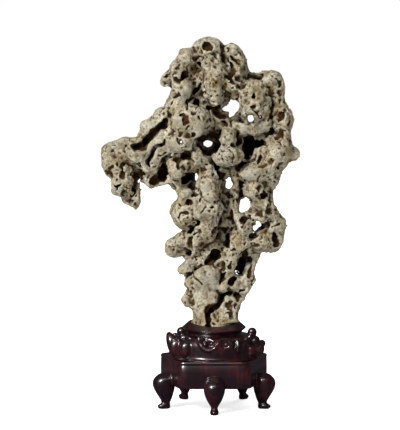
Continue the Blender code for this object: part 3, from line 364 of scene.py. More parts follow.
# What stands out on the skin: how far, and the (column, row, half width) points it runs through.
RAISED = (
    (3.5, (195.5, 199.5, 4.6)),
    (1.2, (214, 171.5, 0.9), (216, 176, 0.9), (220, 181, 1), (223, 187, 1), (225.5, 192, 0.9)),
    (1.4, (231.5, 60, 0.9), (235, 64, 1.1), (238, 68, 1.2), (239, 74, 1.2), (238, 80, 1)),
    (1.4, (266.3, 190.5, 0.9), (267, 195, 1), (269, 200, 0.9)),
    (1.5, (240, 90, 1), (246, 86, 1.2), (250, 82.5, 1.3), (256, 81.5, 1.3), (261, 84.5, 1.1),
     (267, 89.5, 1.1), (271, 92.5, 0.9)),
    (1.2, (280, 127, 0.8), (285, 129, 0.9), (288, 134, 1), (289, 139, 0.9)),
    (1.5, (222, 231, 0.8), (221.6, 227, 1), (224, 225, 1), (226.3, 227, 0.9)),
    (1.5, (231, 196, 0.8), (231.5, 202, 1), (232, 207, 0.8)),
    (1.5, (235.5, 194, 0.8), (235.3, 201, 1), (236, 208, 0.8)),
    (1.5, (225.5, 197, 1), (224.5, 205, 1.2), (223.8, 212, 1.2), (226, 218, 1.2), (228, 224, 1.1),
     (230, 229, 0.9)),
    (2, (228, 136, 4.2)), (1.5, (185.5, 121, 1.1)), (1.5, (185.2, 69.5, 0.9), (186, 72.3, 0.9)),
    (1.5, (183.2, 75, 1)), (1.2, (172.5, 72.5, 0.8), (168.5, 77.5, 1), (165, 81, 1.2)),
)


# The rock's outline as seen from the front, clockwise from the summit, in columns and rows.
OUTLINE = (
    (200, 40), (205, 37.4), (210, 36.6), (217, 36.8), (222, 39), (225.5, 42.6), (231, 41), (236, 45.5),
    (242, 52), (245, 58), (247, 64), (249.5, 69), (251, 72.6), (256, 73.2), (262, 72.8), (264, 70),
    (270, 69), (277, 72), (281, 76), (284, 82), (285, 88), (283.3, 97), (284, 102), (288, 108),
    (291, 113), (293, 118), (292.5, 126), (290, 131), (290.5, 140), (294, 146), (299, 150), (300.3, 153),
    (298.5, 158), (295, 161), (290, 162), (286, 167), (281, 170), (280, 178), (277, 184), (273.5, 190),
    (272.5, 198), (273, 205), (276, 207), (279, 212), (280, 216), (285, 218), (287, 226), (284.5, 233),
    (284.5, 240), (283, 245), (278, 250), (272, 251.5), (262, 251.5), (260, 255), (257, 262), (255, 268),
    (254, 274), (256, 279), (253, 284), (250, 289), (247, 294), (244, 299), (240, 303), (239.5, 310),
    (239, 320), (240, 340), (190, 340), (192.5, 320), (193, 314), (191.5, 309), (186, 306.5), (182, 303),
    (181, 300), (183.5, 296), (186, 290), (187.5, 288), (184, 284), (183.5, 278), (178, 273),
    (176.5, 270), (179, 268), (181, 267), (186, 260), (181, 257), (172, 257.5), (166, 254), (164.5, 250),
    (166, 243), (170, 239), (176, 234), (180, 230.5), (175, 225), (171.5, 218), (170.5, 212),
    (170.5, 206), (173, 202), (177, 199.5), (178.5, 196), (177, 191), (173, 187), (170.5, 184),
    (169, 182.5), (164, 185), (160, 186), (155, 187), (151, 189), (148.5, 187), (145, 183), (142, 182),
    (140, 184), (140, 200), (139.5, 205), (137, 208), (135.5, 209.5), (133, 207), (129, 204), (124, 202),
    (120, 198), (117, 195), (113, 194.5), (111.5, 190), (111, 184), (111.5, 178), (107, 175),
    (103.5, 171), (101.5, 165), (101, 158), (101, 150), (104, 146), (106, 142.5), (110, 140.5),
    (116, 140.5), (120, 138.5), (124, 136), (127.5, 134.5), (130, 135.5), (132.5, 136), (137, 133.5),
    (139, 132), (140, 127), (140.5, 124), (143, 121), (147, 118), (152, 117), (154, 115), (155, 112),
    (158, 108), (163, 106), (166, 102), (168, 98), (170, 92), (170.5, 89), (167, 86), (163.5, 85.5),
    (161, 83), (160, 80), (162, 77), (165, 73), (170, 69), (170.5, 66), (174, 61), (177.5, 56),
    (179.5, 51), (181, 49.5), (187, 48.5), (192, 49), (192.5, 45), (194, 42.5), (197, 41),
)

# The windows that go right through it, as seen from the front.
WINDOWS = (
    ((221, 109), (224.5, 105), (228, 101.5), (231, 100), (234, 100), (238, 102.5), (240, 105),
     (240.2, 108), (238, 112), (233, 117), (230, 119), (228, 118.5), (227.5, 115), (228, 112.5),
     (225, 112), (222, 111.5)),
    ((246.6, 115), (250, 113.8), (253, 114.4), (254.8, 119), (253, 122), (250.2, 123), (247.6, 121)),
    ((202, 142.8), (204.6, 140.3), (209, 139.4), (212.4, 141), (213.4, 143.8), (211.8, 146.3),
     (208, 147.6), (204.2, 146.8)),
    ((179.5, 140.6), (181, 140), (182.6, 141), (182.8, 142.8), (181.2, 143.9), (179.6, 143.2)),
    ((196.5, 174.5), (198.2, 178.3), (196.6, 181), (194.6, 181.8), (194.2, 179.3), (195, 176.2)),
    ((228, 176), (230.4, 177.2), (231.4, 180), (233.6, 183), (232.2, 187), (230.2, 189.6), (227, 189.8),
     (225.2, 187), (225.6, 182), (226.2, 178)),
    ((245.6, 197.8), (248.6, 198.8), (249.8, 202), (249, 207), (246.6, 210.3), (242.8, 213),
     (239.4, 212.8), (237.8, 209), (238.6, 204), (241.2, 200.3)),
    ((255.4, 220.6), (257.4, 220), (259.2, 221), (261.8, 224.6), (262, 227), (260.2, 227.8),
     (257.6, 225.8), (255.4, 223)),
)

# Round places of the skin, as (column, row, radius): where it is crumbly, smooth and stained with ochre.
PITTED = (
    (216, 80, 18), (206, 56, 14), (232, 60, 10), (122, 178, 16), (268, 214, 16), (175, 170, 14),
    (219, 204, 10), (227, 154, 9),
)
SMOOTH = (
    (184, 92, 12), (207, 283, 20), (155, 128, 12), (150, 152, 12), (250, 173, 11), (202, 128, 12),
    (172, 147, 11), (243, 128, 7), (289, 150, 9), (180, 120, 9), (202, 208, 8), (262, 127, 8),
    (206, 185, 7),
)
OCHRE = (
    (254, 91, 14), (268, 88, 8), (184, 223, 9), (265, 234, 7), (201, 315, 10), (217, 317, 7),
    (202, 280, 6), (117, 158, 10), (286, 150, 9), (290, 118, 7), (236, 62, 7),
)


def line_of_sight(column, row):
    """The unit direction from the eye through a place of the frame, with the frame's right and up."""
    ahead = (AIM - EYE).normalized()
    right = ahead.cross(Vector((0, 0, 1))).normalized()
    up = right.cross(ahead)
    way = ahead * FOCAL + right * (column - PICTURE[0] / 2) + up * (PICTURE[1] / 2 - row)
    return way.normalized(), right, up


def at(column, row, depth):
    """The point of a place on the drawing."""
    left = max(0.0, (AXIS_COLUMN - column) / ARM_COLUMNS)
    right = max(0.0, (column - AXIS_COLUMN) / ARM_COLUMNS)
    lean = -LEAN * math.cos(math.tau * (row - SUMMIT_ROW) / LEAN_ROWS)
    lean *= min(1.0, max(0.0, (FOOT_ROW - row) / FOOT_ROWS))
    depth += ARM_BEND * left**2 - FLANK_BEND * right**2 + lean
    way = line_of_sight(column, row)[0]
    return EYE + way * ((AXIS_Y - depth * DEPTH_UNIT - EYE.y) / way.y)


def around(degrees, height, reach):
    """The point at a height and a distance from the stand's axis, turned from the front to the right."""
    turn = math.radians(degrees)
    return Vector((AXIS_X + reach * math.sin(turn), AXIS_Y - reach * math.cos(turn), height))


def ellipsoid(centre, halves, turn=None):
    """The placing of a unit ball as an ellipsoid, with half sizes along X, Y and Z before it is turned."""
    sizes = Matrix.Diagonal(halves).to_4x4()
    return Matrix.Translation(centre) @ (turn or Matrix.Identity(4)) @ sizes


def mass(place, halves, tilt=0.0):
    """The placing of an ellipsoid of the drawing, tilted clockwise as drawn."""
    half_width, half_height, half_depth = halves
    sizes = (half_width * SQUARE, half_depth * DEPTH_UNIT, half_height * SQUARE)
    return ellipsoid(at(*place), sizes, Matrix.Rotation(math.radians(tilt), 4, "Y"))


def along_curve(points, spacing):
    """Walks a smooth curve through points, in steps of a share of each point's last number."""
    if len(points) == 1:
        return [Vector(points[0])]
    padded = [points[0], *points, points[-1]]
    walked = [Vector(points[0])]
    for before, start, end, after in zip(padded, padded[1:], padded[2:], padded[3:]):
        before, start, end, after = (Vector(point) for point in (before, start, end, after))
        span = start - end
        far = math.sqrt(sum(number**2 for number in span[:-1]))
        steps = max(1, math.ceil(far / (spacing * min(start[-1], end[-1]))))
        for step in range(1, steps + 1):
            t = step / steps
            place = start * (2 * t**3 - 3 * t**2 + 1)
            place += end * (3 * t**2 - 2 * t**3)
            place += (end - before) * (t**3 - 2 * t**2 + t) / 2
            place += (after - start) * (t**3 - t**2) / 2
            walked.append(place)
    return walked


def blended(first, second, blend):
    """The smaller of two distances, rounded over where they are within a blend of each other."""
    near = np.maximum(blend - np.abs(first - second), 0.0) / blend
    return np.minimum(first, second) - near * near * blend / 4


def distance_to_outline(outline, columns, rows):
    """The distance from each place of a grid to a closed outline, less than nothing inside."""
    outline = np.array(outline, dtype=float)
    points = np.stack(np.meshgrid(columns, rows, indexing="ij"), axis=-1)
    best = np.full(points.shape[:2], np.inf)
    inside = np.zeros(points.shape[:2], bool)
    for start, end in zip(outline, np.roll(outline, -1, axis=0)):
        run = end - start
        share = (((points - start) @ run) / (run @ run)).clip(0.0, 1.0)
        best = np.minimum(best, np.linalg.norm(points - start - share[..., None] * run, axis=-1))
        if start[1] != end[1]:
            crosses = (start[1] > points[..., 1]) != (end[1] > points[..., 1])
            meets = start[0] + (points[..., 1] - start[1]) * run[0] / run[1]
            inside ^= crosses & (points[..., 0] < meets)
    return np.where(inside, -best, best)


class Block:
    """A solid held as the distance to its skin, less than nothing inside, on a grid of points."""

    def __init__(self, low, high, step):
        self.step = step
        self.low = np.array(low)
        self.counts = np.ceil((np.array(high) - self.low) / step).astype(int) + 1
        self.skin = np.full(self.counts, REACH, np.float32)
        self.sway = None

    def bend(self, *swells):
        """Bends what is added or cut from now on by random swells, given as (height, size, seed)."""
        self.sway = [
            sum(height * self.swell(size, seed + axis) for height, size, seed in swells) for axis in range(3)
        ]

    def row(self, axis):
        """The grid's places along an axis, shaped to be spread over the other two."""
        places = (self.low[axis] + self.step * np.arange(self.counts[axis])).astype(np.float32)
        return places.reshape([-1 if axis == other else 1 for other in range(3)])

    def swell(self, size, seed):
        """Smooth random values over the grid, with swells of about a size and a spread of 1."""
        rng = np.random.default_rng(seed)
        spans = self.counts * self.step / size
        values = rng.uniform(-1.0, 1.0, [int(span) + 5 for span in spans]).astype(np.float32)
        for axis in range(3):
            place = np.arange(self.counts[axis]) * self.step / size
            knot = place.astype(int)
            t = (place - knot).astype(np.float32).reshape([-1 if axis == other else 1 for other in range(3)])
            weights = (
                (1 - t) ** 3 / 6,
                (3 * t**3 - 6 * t**2 + 4) / 6,
                (-3 * t**3 + 3 * t**2 + 3 * t + 1) / 6,
                t**3 / 6,
            )
            values = sum(weight * values.take(knot + number, axis) for number, weight in enumerate(weights))
        return values / values.std()

    def window(self, centre, reach):
        """The part of the grid within a reach of a point."""
        start = np.floor((centre - reach - self.low) / self.step).astype(int).clip(0, self.counts)
        end = np.ceil((centre + reach - self.low) / self.step).astype(int).clip(-1, self.counts - 1) + 1
        return tuple(slice(a, max(a, b)) for a, b in zip(start, end))

    def gap(self, placing, blend):
        """The part of the grid round an ellipsoid, and the distance to its skin there."""
        turn = np.array(placing)
        halves = np.linalg.norm(turn[:3, :3], axis=0)
        reach = np.linalg.norm(turn[:3, :3], axis=1) + max(blend, REACH) + 2 * self.step
        part = self.window(turn[:3, 3], reach)
        place = [self.row(axis)[tuple(part[axis] if axis == other else slice(None) for other in range(3))]
                 for axis in range(3)]
        if self.sway is not None:
            place = [row + sway[part] for row, sway in zip(place, self.sway)]
        back = np.linalg.inv(turn).astype(np.float32)
        ball = [back[k, 0] * place[0] + back[k, 1] * place[1] + back[k, 2] * place[2] + back[k, 3]
                for k in range(3)]
        far = np.sqrt(ball[0] ** 2 + ball[1] ** 2 + ball[2] ** 2)
        slope = [back[0, k] * ball[0] + back[1, k] * ball[1] + back[2, k] * ball[2] for k in range(3)]
        steep = np.sqrt(slope[0] ** 2 + slope[1] ** 2 + slope[2] ** 2)
        size = np.where(far < 0.05, halves.min(), far / np.maximum(steep, 1e-6))
        return part, (far - 1.0) * size

    def add(self, placings, blend):
        """Joins ellipsoids on, with a fillet."""
        for placing in placings:
            part, gap = self.gap(placing, blend)
            self.skin[part] = blended(self.skin[part], gap, blend)

    def cut(self, placings, blend):
        """Cuts ellipsoids out, with a rounded rim."""
        for placing in placings:
            part, gap = self.gap(placing, blend)
            self.skin[part] = -blended(-self.skin[part], gap, blend)

    def sample(self, values, points):
        """The values of the grid at points."""
        place = (points - self.low) / self.step
        knot = np.floor(place).astype(int).clip(0, self.counts - 2)
        share = (place - knot).clip(0.0, 1.0)
        total = np.zeros(len(points))
        for corner in np.ndindex(2, 2, 2):
            weight = np.prod(np.where(corner, share, 1.0 - share), axis=1)
            x, y, z = (knot + corner).T
            total += weight * values[x, y, z]
        return total

    def spread(self, values, reach):
        """The mean of the grid's values over a cube of this half size round each point."""
        width = max(1, round(reach / self.step))
        for axis in range(3):
            pad = [(width + 1, width) if axis == other else (0, 0) for other in range(3)]
            total = np.cumsum(np.pad(values, pad, "edge"), axis=axis, dtype=np.float32)
            ahead = np.take(total, np.arange(2 * width + 1, total.shape[axis]), axis)
            behind = np.take(total, np.arange(0, total.shape[axis] - 2 * width - 1), axis)
            values = (ahead - behind) / (2 * width + 1)
        return values

    def trim(self, table, corner, scale, blend):
        """Trims the block to a drawn outline, given as a table of distances over the frame."""
        cells = np.nonzero(self.skin < REACH)
        x, y, z = (self.low[axis] + self.step * cells[axis] - EYE[axis] for axis in range(3))
        ahead = (AIM - EYE).normalized()
        far = y * ahead.y + z * ahead.z
        column = PICTURE[0] / 2 + FOCAL * x / far
        row = PICTURE[1] / 2 - FOCAL * (z * ahead.y - y * ahead.z) / far
        if self.sway is not None:
            column = column + self.sway[0][cells] / SQUARE
            row = row + self.sway[2][cells] / SQUARE
        place = np.stack([(column - corner[0]) * scale, (row - corner[1]) * scale])
        knot = np.floor(place).astype(int)
        knot = np.stack([knot[k].clip(0, table.shape[k] - 2) for k in range(2)])
        share = (place - knot).clip(0.0, 1.0)
        gap = table[knot[0], knot[1]] * (1 - share[0]) * (1 - share[1])
        gap += table[knot[0] + 1, knot[1]] * share[0] * (1 - share[1])
        gap += table[knot[0], knot[1] + 1] * (1 - share[0]) * share[1]
        gap += table[knot[0] + 1, knot[1] + 1] * share[0] * share[1]
        self.skin[cells] = -blended(-self.skin[cells], -(gap * SQUARE).astype(np.float32), blend)

    def slope(self, points):
        """The unit direction out of the skin at points."""
        lifts = []
        for axis in range(3):
            shift = np.zeros(3)
            shift[axis] = self.step
            lifts.append(self.sample(self.skin, points + shift) - self.sample(self.skin, points - shift))
        lifts = np.stack(lifts, axis=1)
        return lifts / np.maximum(np.linalg.norm(lifts, axis=1), 1e-9)[:, None]

    def struck(self, way):
        """The first point of the skin that a line of sight from the eye meets, or None."""
        steps = np.arange(EYE_NEAR, EYE_FAR, self.step / 2)
        points = np.array(EYE) + steps[:, None] * np.array(way)
        cells = np.round((points - self.low) / self.step).astype(int)
        inside = np.all((cells >= 0) & (cells < self.counts), axis=1)
        cells = cells[inside]
        hits = np.flatnonzero(self.skin[tuple(cells.T)] < 0)
        return Vector(points[inside][hits[0]]) if len(hits) else None

    def mesh(self, name):
        """The skin as a mesh of quads."""
        grid = openvdb.FloatGrid()
        grid.background = REACH
        grid.copyFromArray(self.skin.clip(-REACH, REACH))
        points, quads = grid.convertToQuads(0.0)
        made = bpy.data.meshes.new(name)
        made.from_pydata((points * self.step + self.low).tolist(), [], quads.tolist())
        return made


def new_piece(name, mesh, node):
    """Puts a mesh in the scene as a piece of the body, in place of a CAD node."""
    piece = bpy.data.objects.new(name, mesh)
    bpy.context.scene.collection.objects.link(piece)
    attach(piece, BODY)
    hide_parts(node)
    return piece


def finish(piece, material):
    """Gives a piece its material and smooth shading."""
    piece.data.materials.append(material)
    piece.data.shade_smooth()


def mesh_of(bm, name):
    """A mesh from a bmesh, which is freed."""
    mesh = bpy.data.meshes.new(name)
    bm.to_mesh(mesh)
    bm.free()
    return mesh


def mesh_points(obj):
    """The points of an object's mesh, as rows."""
    return np.array([vert.co for vert in obj.data.vertices])


def set_measures(obj, block, measures):
    """Keeps measures of the solid and how sheltered each point is, with the mesh, for its finish's painted
    shade.
    """
    points = mesh_points(obj)
    solid = (block.skin < 0).astype(np.float32)
    measures["crease"] = block.sample(block.spread(solid, CREASE_REACH), points)
    measures["shelter"] = block.sample(block.spread(solid, SHELTER_REACH), points)
    for name, values in measures.items():
        layer = obj.data.attributes.new(name, "FLOAT", "POINT")
        layer.data.foreach_set("value", values.astype(np.float32))


# The box that the rock is worked out in, and the depth at which its hollows are painted darkest, with soil
# and shade.
ROCK_LOW = (-0.156, -0.075, 0.100)
ROCK_HIGH = (0.158, 0.090, 0.562)
DARKEST_DEPTH = 0.016

# The table of distances to the outline: its columns, its rows and its places to a square. The outline is
# let out by some squares, for what its rounding and its dents take off.
TABLE_COLUMNS = (90.0, 312.0)
TABLE_ROWS = (26.0, 345.0)
TABLE_SCALE = 2.0
OUTLINE_GROWTH = 0.9

# The random swells that bend each stage of the rock, each as (height, size, seed), and how much more the
# masses are bent in depth.
MASS_SWELLS = ((0.0009, 0.018, 0), (0.0006, 0.008, 10))
OUTLINE_SWELLS = ((0.0006, 0.006, 60),)
HOLLOW_SWELLS = ((0.0016, 0.012, 20), (0.0009, 0.005, 30))
STROKE_SWELLS = ((0.0008, 0.0046, 70),)
WEAR_SWELLS = ((0.0005, 0.0026, 80),)
MASS_DEPTH_BEND = 2.5

# The fillets between its forms, and the rounding of what is cut.
MASS_FILLET = 0.0070
RIDGE_FILLET = 0.0040
LUMP_FILLET = 0.0012
KNOB_FILLET = 0.0005
OUTLINE_ROUNDING = 0.0050
HOLLOW_ROUNDING = 0.0016
STROKE_ROUNDING = 0.0012
FINE_ROUNDING = 0.0004

# The steps along a ridge and along a stroke on the skin, as shares of its half width there. A stroke is
# cut wider than it is drawn, since its rounding narrows it, and has a least half width.
CHAIN_SPACING = 0.5
STROKE_SPACING = 0.6
STROKE_WIDENING = 1.3
STROKE_NARROWING = 0.25
STROKE_LEAST = 0.85
PIERCED_HALF_DEPTH = 0.3

# The random wear: the size and seed of its patches; the skin's ridged swells, as (size, height, seed), and
# the level at which they change nothing; knobs and pits, as their smallest and largest half sizes and how
# far they are stretched; dents, as their least half size, its range and how rare large ones are, then the
# ranges of their depths and proportions. Last, how far the foot's trimming reaches above the collar.
WEAR_SEED = 7
PATCH_SIZE = 0.016
PATCH_SEED = 41
RIDGED_SWELLS = ((0.0130, 0.0005, 51), (0.0065, 0.0006, 52), (0.0032, 0.0006, 53))
RIDGED_LEVEL = 0.8
KNOB_SIZES = (0.0009, 0.0020, 1.5)
PIT_SIZES = (0.0008, 0.0024, 1.6)
DENT_SIZES = (0.0026, 0.0050, 1.7)
DENT_DEPTHS = (0.06, 0.20)
DENT_PROPORTIONS = (0.75, 1.35)
FOOT_LAP = 0.0006


def ridge(points):
    """The balls of a rounded ridge through (column, row, depth, half thickness) points."""
    walked = along_curve(points, CHAIN_SPACING)
    return [ellipsoid(at(column, row, depth), [half * SQUARE] * 3) for column, row, depth, half in walked]


def furrow(points):
    """The space of a furrow through (column, row, depth, half width) points."""
    return [
        mass((column, row, depth), (half, half, FURROW_HALF_DEPTH))
        for column, row, depth, half in along_curve(points, CHAIN_SPACING)
    ]


def seen(block, column, row, half_width, half_height, half_depth, tilt=0.0, sink=0.0):
    """The placing of an ellipsoid on the skin, where it is seen from the front, or None where none is."""
    way, right, up = line_of_sight(column, row)
    place = block.struck(way)
    if place is None:
        return None
    place += way * sink * SQUARE
    turn = Matrix((right, way, up)).transposed().to_4x4()
    turn = turn @ Matrix.Rotation(math.radians(tilt), 4, "Y")
    sizes = (half_width * SQUARE, half_depth * SQUARE, half_height * SQUARE)
    return ellipsoid(place, sizes, turn)


def stroke(block, points, spacing, shape):
    """Ellipsoids on the skin along a line seen from the front, each shaped from its half width."""
    placings = [seen(block, column, row, *shape(half)) for column, row, half in along_curve(points, spacing)]
    return [placing for placing in placings if placing]


def outline_table():
    """How far every place of the frame is from the stone's outline and windows, in squares."""
    columns = np.arange(*TABLE_COLUMNS, 1 / TABLE_SCALE)
    rows = np.arange(*TABLE_ROWS, 1 / TABLE_SCALE)
    table = distance_to_outline(OUTLINE, columns, rows) - OUTLINE_GROWTH
    for window in WINDOWS:
        table = np.maximum(table, -distance_to_outline(window, columns, rows))
    return table.astype(np.float32), (columns[0], rows[0]), TABLE_SCALE


def stone_block(grain):
    """The rock's masses and ridges run together, trimmed to its outline, and its hollows and furrows cut."""
    block = Block(ROCK_LOW, ROCK_HIGH, grain)
    block.bend(*MASS_SWELLS)
    block.sway[1] = block.sway[1] * MASS_DEPTH_BEND
    block.add([mass(numbers[:3], numbers[3:]) for numbers in MASSES], MASS_FILLET)
    for points in RIDGES:
        block.add(ridge(points), RIDGE_FILLET)
    block.bend(*OUTLINE_SWELLS)
    block.trim(*outline_table(), OUTLINE_ROUNDING)
    unworn = block.skin.copy()
    block.bend(*HOLLOW_SWELLS)
    block.cut([mass(numbers[:3], numbers[3:6], numbers[6]) for numbers in HOLLOWS], HOLLOW_ROUNDING)
    for points in FURROWS:
        block.cut(furrow(points), HOLLOW_ROUNDING)
    block.bend(*STROKE_SWELLS)
    return block, unworn


def carve_front(block):
    """Cuts what is worn into the front skin and through it, and raises what stands out on it."""
    for depth, *points in WORN:
        def groove(half):
            wide = max(STROKE_LEAST, STROKE_WIDENING * half - STROKE_NARROWING)
            return wide, wide, depth

        rounding = min(STROKE_ROUNDING, FINE_ROUNDING * depth ** 0.5)
        block.cut(stroke(block, points, STROKE_SPACING, groove), rounding)
    for column, row, half in PIERCED:
        way, right, up = line_of_sight(column, row)
        middle = EYE + way * ((AXIS_Y - EYE.y) / way.y)
        turn = Matrix((right, way, up)).transposed().to_4x4()
        sizes = (half * SQUARE, PIERCED_HALF_DEPTH, half * SQUARE)
        block.cut([ellipsoid(middle, sizes, turn)], FINE_ROUNDING)
    for height, *points in RAISED:
        def lump(half):
            return half, half, max(height, half), 0.0, max(0.0, half - height)

        block.add(stroke(block, points, STROKE_SPACING, lump), LUMP_FILLET)


def scatter(block, rng, count, chance):
    """Random points of the skin, at most this many, kept with a chance that a function gives for each."""
    near = np.argwhere(np.abs(block.skin) < block.step / 2)
    points = near[rng.integers(len(near), size=4 * count)] * block.step + block.low
    kept = points[rng.random(len(points)) < chance(points)]
    return kept[:count]


def near_places(x, z, places):
    """From 0 to 1, how deep each place is in the nearest of the drawing's round places."""
    columns, rows = x / SQUARE + ORIGIN_COLUMN, FLOOR_ROW - z / SQUARE
    depth = np.zeros(np.broadcast(columns, rows).shape, x.dtype)
    for column, row, radius in places:
        away = np.hypot(columns - column, rows - row) / radius
        depth = np.maximum(depth, (1.5 * (1 - away)).clip(0.0, 1.0))
    return depth


def random_turn(rng):
    """A turn about a random axis."""
    axis = Vector(rng.normal(size=3)).normalized()
    return Matrix.Rotation(rng.uniform(0.0, math.tau), 4, axis)


def swarm(points, rng, smallest, largest, stretch):
    """Placings of small ellipsoids at points, turned at random, mostly near the smallest size."""
    placings = []
    for point in points:
        size = smallest + (largest - smallest) * rng.random() ** 4
        halves = [size * rng.uniform(1.0 / stretch, stretch) for _ in range(3)]
        placings.append(ellipsoid(Vector(point), halves, random_turn(rng)))
    return placings


def socket_cup(block, gap):
    """How far each point is outside the socket that the rock stands in, let out by a gap."""
    x, y, z = (block.row(axis) for axis in range(3))
    slope = (COLLAR_TOP_RADIUS - SOCKET_FLOOR_RADIUS) / (COLLAR_TOP - SOCKET_FLOOR)
    cup = np.hypot(x - AXIS_X, y - AXIS_Y) - SOCKET_FLOOR_RADIUS - gap - slope * (z - SOCKET_FLOOR)
    return np.maximum(cup / math.hypot(1.0, slope), SOCKET_FLOOR - gap - z)


def wear(block, settings):
    """Dents, ridges, knobs and pits all over the skin, fewer of them on the smooth places."""
    rng = np.random.default_rng(WEAR_SEED)
    patchy = block.swell(PATCH_SIZE, PATCH_SEED)

    def firm(points):
        smooth = near_places(points[:, 0], points[:, 2], SMOOTH)
        return (1.0 - 0.8 * smooth).clip(0.05, 1.0)

    def crumbly(points):
        pitted, smooth = (near_places(points[:, 0], points[:, 2], places) for places in (PITTED, SMOOTH))
        return (0.35 + 0.3 * block.sample(patchy, points) + 0.9 * pitted - 1.2 * smooth).clip(0.04, 1.0)

    dent(block, rng, settings.scallops, firm)
    rough = 1.0 - 0.6 * near_places(block.row(0), block.row(2), SMOOTH)
    for size, height, seed in RIDGED_SWELLS:
        block.skin += rough * height * (np.abs(block.swell(size, seed)) - RIDGED_LEVEL)
    block.bend(*WEAR_SWELLS)
    knobs = scatter(block, rng, settings.knobs, crumbly)
    block.add(swarm(knobs, rng, *KNOB_SIZES), KNOB_FILLET)
    pits = scatter(block, rng, settings.pits, crumbly)
    block.cut(swarm(pits, rng, *PIT_SIZES), FINE_ROUNDING)


def dent(block, rng, count, chance):
    """Dissolves shallow round dents out of the skin, which meet in ridges."""
    points = scatter(block, rng, count, chance)
    smallest, spread, rarity = DENT_SIZES
    placings = []
    for point, out in zip(points, block.slope(points)):
        size = smallest + spread * rng.random() ** rarity
        deep = size * rng.uniform(*DENT_DEPTHS)
        halves = [size * rng.uniform(*DENT_PROPORTIONS) for _ in range(3)]
        placings.append(ellipsoid(Vector(point + out * (size - deep)), halves, random_turn(rng)))
    block.cut(placings, FINE_ROUNDING)


def keep_largest(mesh):
    """Deletes every loose body of a mesh but the largest."""
    bm = bmesh.new()
    bm.from_mesh(mesh)
    left = set(bm.verts)
    bodies = []
    while left:
        stack = [left.pop()]
        body = set(stack)
        while stack:
            for edge in stack.pop().link_edges:
                for vert in edge.verts:
                    if vert in left:
                        left.discard(vert)
                        body.add(vert)
                        stack.append(vert)
        bodies.append(body)
    largest = max(bodies, key=len)
    bmesh.ops.delete(bm, geom=[vert for vert in bm.verts if vert not in largest], context="VERTS")
    bm.to_mesh(mesh)
    bm.free()


def thinned_piece(block, name, node, triangles):
    """A block's skin as a piece of about this many triangles, in one body."""
    piece = new_piece(name, block.mesh(name), node)
    now = sum(len(polygon.vertices) - 2 for polygon in piece.data.polygons)
    decimate = piece.modifiers.new("thin", "DECIMATE")
    decimate.ratio = min(1.0, triangles / now)
    graph = bpy.context.evaluated_depsgraph_get()
    mesh = bpy.data.meshes.new_from_object(piece.evaluated_get(graph))
    piece.modifiers.clear()
    piece.data = mesh
    keep_largest(mesh)
    return piece


def make_stone(settings):
    """The whole stone."""
    block, unworn = stone_block(settings.grain)
    carve_front(block)
    wear(block, settings)
    foot = block.row(2) < COLLAR_TOP + FOOT_LAP
    block.skin = np.where(foot, np.maximum(block.skin, socket_cup(block, 0.0)), block.skin).astype(np.float32)
    stone = thinned_piece(block, "weathered_stone", "rock", settings.triangles)
    points = mesh_points(stone)
    smooth, ochre = (near_places(points[:, 0], points[:, 2], places) for places in (SMOOTH, OCHRE))
    # The hollows' depth, like the creases and shelter, darkens the finish with soil and painted shade.
    set_measures(stone, block, {
        "hollow": (-block.sample(unworn, points) / DARKEST_DEPTH).clip(0.0, 1.0),
        "smooth": smooth,
        "firm": 1.0 - 0.5 * smooth,
        "ochre": ochre,
    })
    finish(stone, limestone(settings))


# The stand, in metres: heights above the floor and radii from its upright axis. The carved top's grid and
# box come first, then the fillets and roundings of its carving.
TOP_STEP = 0.00062
TOP_TRIANGLES = 120000
TOP_REACH = 0.0785
TOP_LOW = 0.0753
TOP_HIGH = 0.1305
TOP_TABLE_REACH = 0.115
CARVING_FILLET = 0.0018
LOBE_FILLET = 0.0022
LINE_FILLET = 0.0016
BEAD_FILLET = 0.0006
CARVED_ROUNDING = 0.0014
# How far the collar's rim comes down in front, and the heights between which it does.
RIM_DROP = 0.0046
RIM_DROP_FROM = 0.1130
RIM_DROP_TO = 0.1250

# The turned body of the carved top: (radius, height) from the socket's lip down its outer side.
TOP_PROFILE = (
    (0.0368, 0.1291), (0.0395, 0.1272), (0.044, 0.1232), (0.048, 0.1196), (0.0478, 0.1188),
    (0.0455, 0.1168), (0.0425, 0.1142), (0.0412, 0.112), (0.0425, 0.1102), (0.05, 0.1092),
    (0.056, 0.1075), (0.06, 0.104), (0.0628, 0.098), (0.0636, 0.09), (0.064, 0.083), (0.0652, 0.079),
    (0.0685, 0.0765), (0.069, 0.0755),
)

